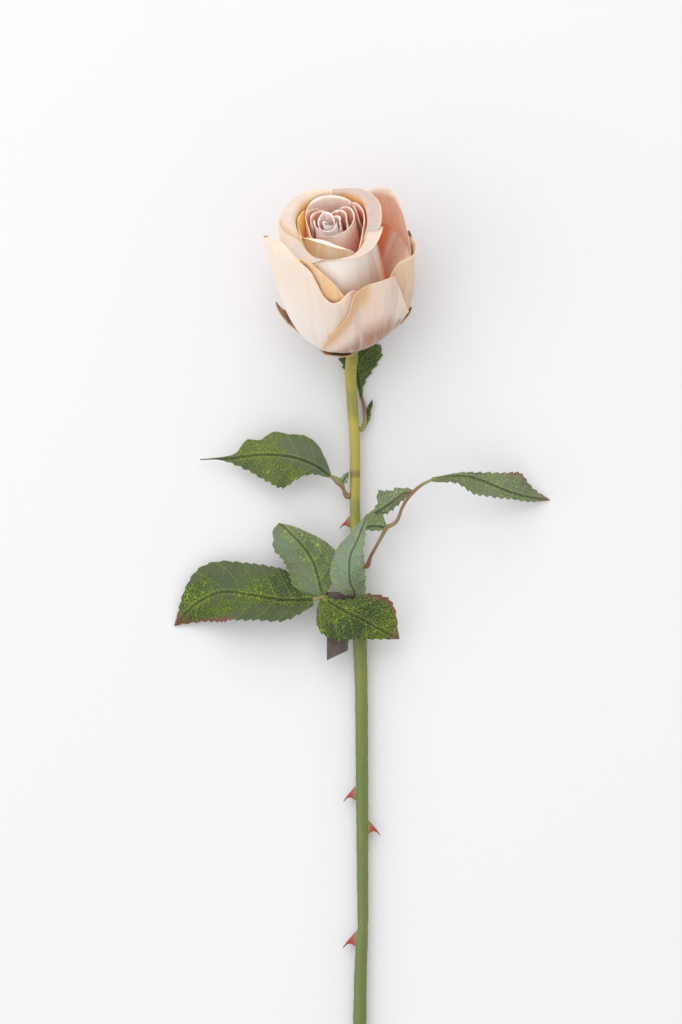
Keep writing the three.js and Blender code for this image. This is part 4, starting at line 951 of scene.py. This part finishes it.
LEAFLETS = {
    "leaf_behind_bloom": [
        dict(
            rib=[(2.5, 381, 3.6), (3.3, 385, 3), (4.4, 389, 2.4), (6.2, 394.3, 1.8)],
            left=(0.6, 1.4, 1, 1.6, 0.9, 0), right=(0.6, 1.6, 2.2, 1.2, 1.2, 0), lift=(-0.1, 0.1),
        ),
        dict(
            rib=[
                (0.7, 395, 1.25), (-0.5, 402, 1), (-1.5, 409, 0.8), (-2, 416, 0.7), (-3, 423, 0.7),
                (-4, 429, 0.7),
            ],
            left=(0.5, 1, 4, 8, 9, 6, 0), right=(0.5, 2.5, 7, 11.5, 14, 9, 0), tone=0.2, lift=(0, 0),
        ),
    ],
    "leaf_upper_left": [
        dict(
            rib=[(-9.5, 351.6, 9.2), (-8, 354.5, 9.6), (-5.8, 358, 9.4)],
            left=(0.6, 1.8, 1.6, 0), right=(0.6, 2.6, 2, 0), tone=0.9, lift=(0.2, -0.2),
        ),
        dict(
            rib=[
                (-15, 356, 12), (-21, 360.5, 14.5), (-30, 364.5, 16), (-40, 366.5, 15.5),
                (-52.5, 366.5, 12), (-64, 365, 8), (-80, 364.3, 4),
            ],
            left=(1, 7, 16.5, 14, 7.5, 1, 0), right=(1, 5, 10, 12, 11, 11.5, 7.5, 8, 2.5, 1, 0.5, 0),
            tone=0.14, teeth=(0.8, 0.15), lift=(-0.3, -0.15),
        ),
    ],
    "leaf_right": [
        dict(
            rib=[
                (36, 354.2, 30), (50, 356, 31), (60, 354, 28), (70, 350, 22), (80, 346.5, 13),
                (95, 344, 0.4),
            ],
            left=(1, 1.5, 4, 8, 11, 5, 0), right=(1, 4, 8, 6, 3.5, 2.5, 0), tone=0.45, red=1,
            teeth=(0.6, 0.8), lift=(-0.75, -1.1),
        ),
        dict(
            rib=[(27, 348, 26.5), (21.5, 347, 26), (16, 343, 23), (10, 339, 17), (2, 335, 11)],
            left=(0.8, 3, 3.5, 4, 3.5, 2.5, 0), right=(0.8, 4, 6.5, 9, 4, 1.5, 0), tone=0.6,
            lift=(-1.3, -0.5),
        ),
        dict(
            rib=[(13.2, 330.3, 17), (9, 331, 16.5), (5, 331, 14.5), (0.5, 329.5, 12)],
            left=(0.8, 2, 3, 3, 2.5, 1.5, 0), right=(0.8, 5.5, 7, 7, 6, 4, 0), tone=0.5, lift=(-0.6, 0.25),
        ),
    ],
    "leaf_lower": [
        dict(
            rib=[
                (-23.5, 294.2, 15), (-38.5, 294, 18.5), (-54, 296.5, 18.5), (-69, 298, 14), (-81, 293, 8),
                (-93, 281, 0.4),
            ],
            left=(3, 10.5, 12.5, 14.5, 15, 10, 0), right=(3, 14.5, 16, 15.5, 15, 7, 0), tone=0.05, red=1,
            teeth=(0.75, 0.5), lift=(-0.15, -0.4),
        ),
        dict(
            rib=[
                (-19, 295.4, 14.5), (-19.8, 300, 17.3), (-23.5, 313, 19.5), (-27.5, 319.5, 19.5),
                (-33, 325.5, 17.5), (-40.5, 332.5, 13),
            ],
            left=(2, 13, 14, 13.5, 12.5, 12, 5), right=(0.8, 7, 13.5, 11, 7, 4, 0), tone=0.4,
            teeth=(0.75, 0.1), lift=(-0.3, -0.32),
        ),
        dict(
            rib=[
                (-19, 295.4, 14.5), (-15.5, 293, 19.5), (-5.5, 287.5, 22.5), (1, 284.5, 22.5), (7, 281, 20),
                (13.5, 277.5, 16), (19.7, 274.5, 12),
            ],
            left=(1, 3, 7.5, 14, 16, 11, 0), right=(1.5, 14, 16, 12.5, 8, 4, 0), tone=0, red=1,
            teeth=(0.7, 0.55), lift=(-0.15, -0.3),
        ),
        dict(
            rib=[
                (-4.2, 294.4, 8.8), (-2.6, 296.8, 14), (-5, 303, 19), (-5, 316, 25), (-1.5, 324, 28),
                (3.5, 337, 30),
            ],
            left=(0.8, 5, 9.5, 8.5, 6, 3.5, 0), right=(0.8, 7, 8.5, 7.5, 5.5, 3, 0), tone=0.85,
            teeth=(0.15, 0.8), lift=(0.4, -0.3),
        ),
    ],
}
TOOTH_PITCH = 4.2
TOOTH_DEPTH = 1.5
BLADE_ROWS_PER_MM = 4
BLADE_COLUMNS = 25
BLADE_LOW = BLADE_THICKNESS / 2 + 0.05
RIB_RADII = (0.75, 0.6, 0.35, 0.2)
RIB_DEPTH = 0.6
RIB_REACH = 0.93


def blade_points(shape, rib, t, teeth):
    """The middle surface of a leaflet, and how far right of its midrib each place lies, in metres."""
    flat = unit(np.gradient(rib, axis=0) * [1, 1, 0])
    left_way = np.stack([-flat[:, 1], flat[:, 0], np.zeros(len(t))], axis=-1)
    saw = np.interp((t * teeth) % 1, (0, 0.8, 1), (1, 0, 1))
    middle = np.zeros((len(t), BLADE_COLUMNS, 3))
    across = np.zeros((len(t), BLADE_COLUMNS))
    for k, share in enumerate(np.linspace(-1, 1, BLADE_COLUMNS)):
        hand, sign, number = ("left", 1, 0) if share < 0 else ("right", -1, 1)
        half = np.maximum(even_spline(shape[hand], t), 0.25)
        edge = abs(share)
        depth = TOOTH_DEPTH * shape.get("teeth", (1, 1))[number]
        tooth = depth * saw * ease(edge, 0.7, 1) * ease(half, 0.5, 4) * ease(t, 0.02, 0.12)
        out = half * edge - tooth * edge
        wave = 0.5 * np.sin(t * 9 + sign) * edge**2 * ease(half, 2, 8)
        cup = -0.03 * half * edge * (1 - edge)
        middle[:, k] = rib + left_way * (sign * out)[:, None]
        middle[:, k, 2] += shape["lift"][number] * out + wave + cup
        across[:, k] = -sign * out * MM
    middle[..., 2] = np.maximum(middle[..., 2], BLADE_LOW)
    return middle, across


def leaflet(b, shape, kind):
    at, length = smooth_path(shape["rib"])
    t = np.linspace(0, 1, int(length * BLADE_ROWS_PER_MM))
    rib = at(t)
    middle, across = blade_points(shape, rib, t, round(length / TOOTH_PITCH))
    u = np.linspace(-1, 1, BLADE_COLUMNS)
    maps = {"place": grid(u[None, :], t[:, None]), "blade": grid(across, (t * length * MM)[:, None])}
    # With u running to the right, the side that the normal points to is the upper face.
    b.sheet(middle, BLADE_THICKNESS, 0, maps, kind + shape.get("tone", 0) / 2 + shape.get("red", 0) / 2)
    under = rib[:: max(len(t) // 24, 1)] - [0, 0, RIB_DEPTH]
    b.rod(under, RIB_RADII, sides=8, steps=40, material=1, reach=RIB_REACH)


def stalk(b, foot, radii, path):
    if foot:
        middle, radius = stem_at(foot[0])
        path = [middle + way_out(foot[1]) * (radius + off) for off in (0.1, 1.6)] + path
    b.rod(path, radii, sides=12, steps=50, material=1)


def leaf_pieces():
    for number, (name, leaflets) in enumerate(LEAFLETS.items()):
        b = Builder()
        for k, shape in enumerate(leaflets):
            leaflet(b, shape, number * 5 + k)
        for leaf, *parts in STALKS:
            if leaf == name:
                stalk(b, *parts)
        piece = b.finish(name + "_blades", [LEAF, STALK])
        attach(piece, "root")
        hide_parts(name)


# Calyx: the green cup under the petals and its sepals, each just outside the petals' wall

HIP = [(0, -10), (3.3, -10), (4.4, -7), (6.6, -3.5), (8.3, -1.6), (8, -0.3), (0, -0.3)]  # radius, height
HIP_RINGS = 61
HIP_SIDES = 40
SEPALS = [  # azimuth, the wall that it follows, length, half width, how far its tip stands off
    (-90, OUTER, 41, 4.6, 2.4),
    (-24, OUTER, 21, 9, 0.7),
    (84, RIGHT, 30, 4.2, 0.9),
    (120, RIGHT, 59, 4.4, 4),
    (-138, BACK, 46, 4.2, 0.5),
]
SEPAL_CLEARANCE = 1.1
SEPAL_THICKNESS = 0.5


def hip(b):
    turn = full_turn(HIP_SIDES)[:, None]
    radius, height = resampled(HIP, HIP_RINGS)
    radius = radius * (1 + 0.03 * np.sin(turn * 5))
    rings = grid(radius * np.cos(turn), height, radius * np.sin(turn)).transpose(1, 0, 2)
    b.rings(in_bloom(rings), 0, "place", np.linspace(0, 0.2, HIP_RINGS))


def sepal(b, azimuth, body, length, half_width, off):
    wall = section(body, np.linspace(0, 1, 500))
    way = lengths_along(grid(*wall[:2]))
    v = np.linspace(0, 1, 60)[:, None]
    u = np.linspace(-1, 1, 17)[None, :]
    r, h, lean = (np.interp(v * length, way, values) for values in wall)
    gap = SEPAL_CLEARANCE + off * ease(v, 0.55, 1) + 0.6 * np.abs(u) ** 2 * ease(v, 0.3, 1)
    tooth = 1 + 0.35 * np.maximum(0, np.sin(v * 19)) ** 6 * ease(v, 0.35, 0.5)
    half = half_width * tooth * (0.5 + 1.2 * v) * np.sqrt(1 - v) + 0.2
    a = np.radians(azimuth) + u * half / np.maximum(r, 4)
    out, up = r + gap * np.cos(lean), h - gap * np.sin(lean)
    points = in_bloom(grid(out * np.sin(a), up, out * np.cos(a)))
    b.sheet(points, SEPAL_THICKNESS, 0, {"place": grid(u, v)})


def calyx_piece():
    b = Builder()
    hip(b)
    for place in SEPALS:
        sepal(b, *place)
    piece = b.finish("calyx_sepals", [SEPAL])
    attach(piece, "root")
    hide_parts("calyx")


# Label: a strip folded into a loop round the lower leaf's stalk, its two ends lying together

LABEL_AT = np.array([-11.2, 295.3, 11.95])
LABEL_SLOPE = 19
LABEL_WIDTH = 11
LABEL_LOOP = 2.3  # inner radius
LABEL_GAP = 0.3  # how far the strip's middle is off that radius, and off the plane between its ends
LABEL_TAIL = 29
LABEL_END_SLANT = 24
STRIP = 0.35


def label_piece():
    across = np.linspace(-LABEL_WIDTH / 2, LABEL_WIDTH / 2, 12)[None, :]
    radius = LABEL_LOOP + LABEL_GAP
    turn = np.radians(np.linspace(-148, 148, 50))[:, None]
    start, height = radius * math.cos(turn[-1, 0]), abs(radius * math.sin(turn[-1, 0]))
    end = across * math.tan(math.radians(LABEL_END_SLANT)) - LABEL_TAIL

    def tail(part, sign):
        off = sign * (LABEL_GAP + (height - LABEL_GAP) * (1 - ease(part, 0, 0.12)))
        return across, start + (end - start) * part, off + 0.25 * np.sin(part * 5) * ease(part, 0.1, 0.5)

    inward = np.linspace(1, 0, 40)[:-1, None]
    loop = across, radius * np.cos(turn), radius * np.sin(turn)
    x, y, z = np.vstack([grid(*part) for part in (tail(inward, -1), loop, tail(inward[::-1], 1))]).T
    slope = math.radians(LABEL_SLOPE)
    x, z = x * math.cos(slope) + z * math.sin(slope), z * math.cos(slope) - x * math.sin(slope)
    b = Builder()
    b.sheet(np.stack([x, y, z]).T + LABEL_AT, STRIP, 0, {})
    piece = b.finish("label_strip", [LABEL])
    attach(piece, "root")
    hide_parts("label")


bloom_pieces()
stem_piece()
calyx_piece()
leaf_pieces()
label_piece()


# Table, camera and light

TABLE_HALF = 6
TABLE_DROP = 0.0002


def stage():
    mesh = bpy.data.meshes.new("table")
    corners = [(x * TABLE_HALF, y * TABLE_HALF, 0) for x, y in ((-1, -1), (1, -1), (1, 1), (-1, 1))]
    mesh.from_pydata(corners, [], [(0, 1, 2, 3)])
    mesh.materials.append(floor_material())
    table = add_object("table", mesh)
    table.location.z = -TABLE_DROP


CAMERA_HEIGHT = 9.02
CAMERA_OVER = np.array([-9.5, 338, 0])  # the middle of the picture, as drawn
FOCUS_HEIGHT = 0.02  # where the picture's scale is taken
VIEW_LENGTH = 0.512  # metres at that height that the picture's long side shows
LIT = np.array([0, 0.1, 0.03])  # the lights point here


def camera():
    data = bpy.data.cameras.new("camera")
    data.lens = data.sensor_width * (CAMERA_HEIGHT - FOCUS_HEIGHT) / VIEW_LENGTH
    data.clip_end = 30
    item = add_object("camera", data)
    item.location = CAMERA_OVER * MM + SHIFT * [1, 1, 0] + [0, 0, CAMERA_HEIGHT]
    bpy.context.scene.camera = item


def area_light(name, place, size, power, colour):
    data = bpy.data.lights.new(name, "AREA")
    data.size = size
    data.energy = power
    data.color = colour
    item = add_object(name, data)
    item.location = place
    item.rotation_euler = Vector(LIT - np.array(place)).to_track_quat("-Z", "Y").to_euler()


def lights():
    world = bpy.data.worlds.new("studio")
    world.use_nodes = True
    background = world.node_tree.nodes["Background"]
    background.inputs["Color"].default_value = (1, 1, 1, 1)
    background.inputs["Strength"].default_value = 0.92
    bpy.context.scene.world = world
    area_light("key", (-1.9, -0.2, 1.5), 2.6, 18, (1, 0.985, 0.965))
    area_light("fill", (-0.3, 1.7, 1.7), 2, 24, (1, 0.985, 0.975))
    bpy.context.scene.view_settings.view_transform = "Standard"


stage()
camera()
lights()
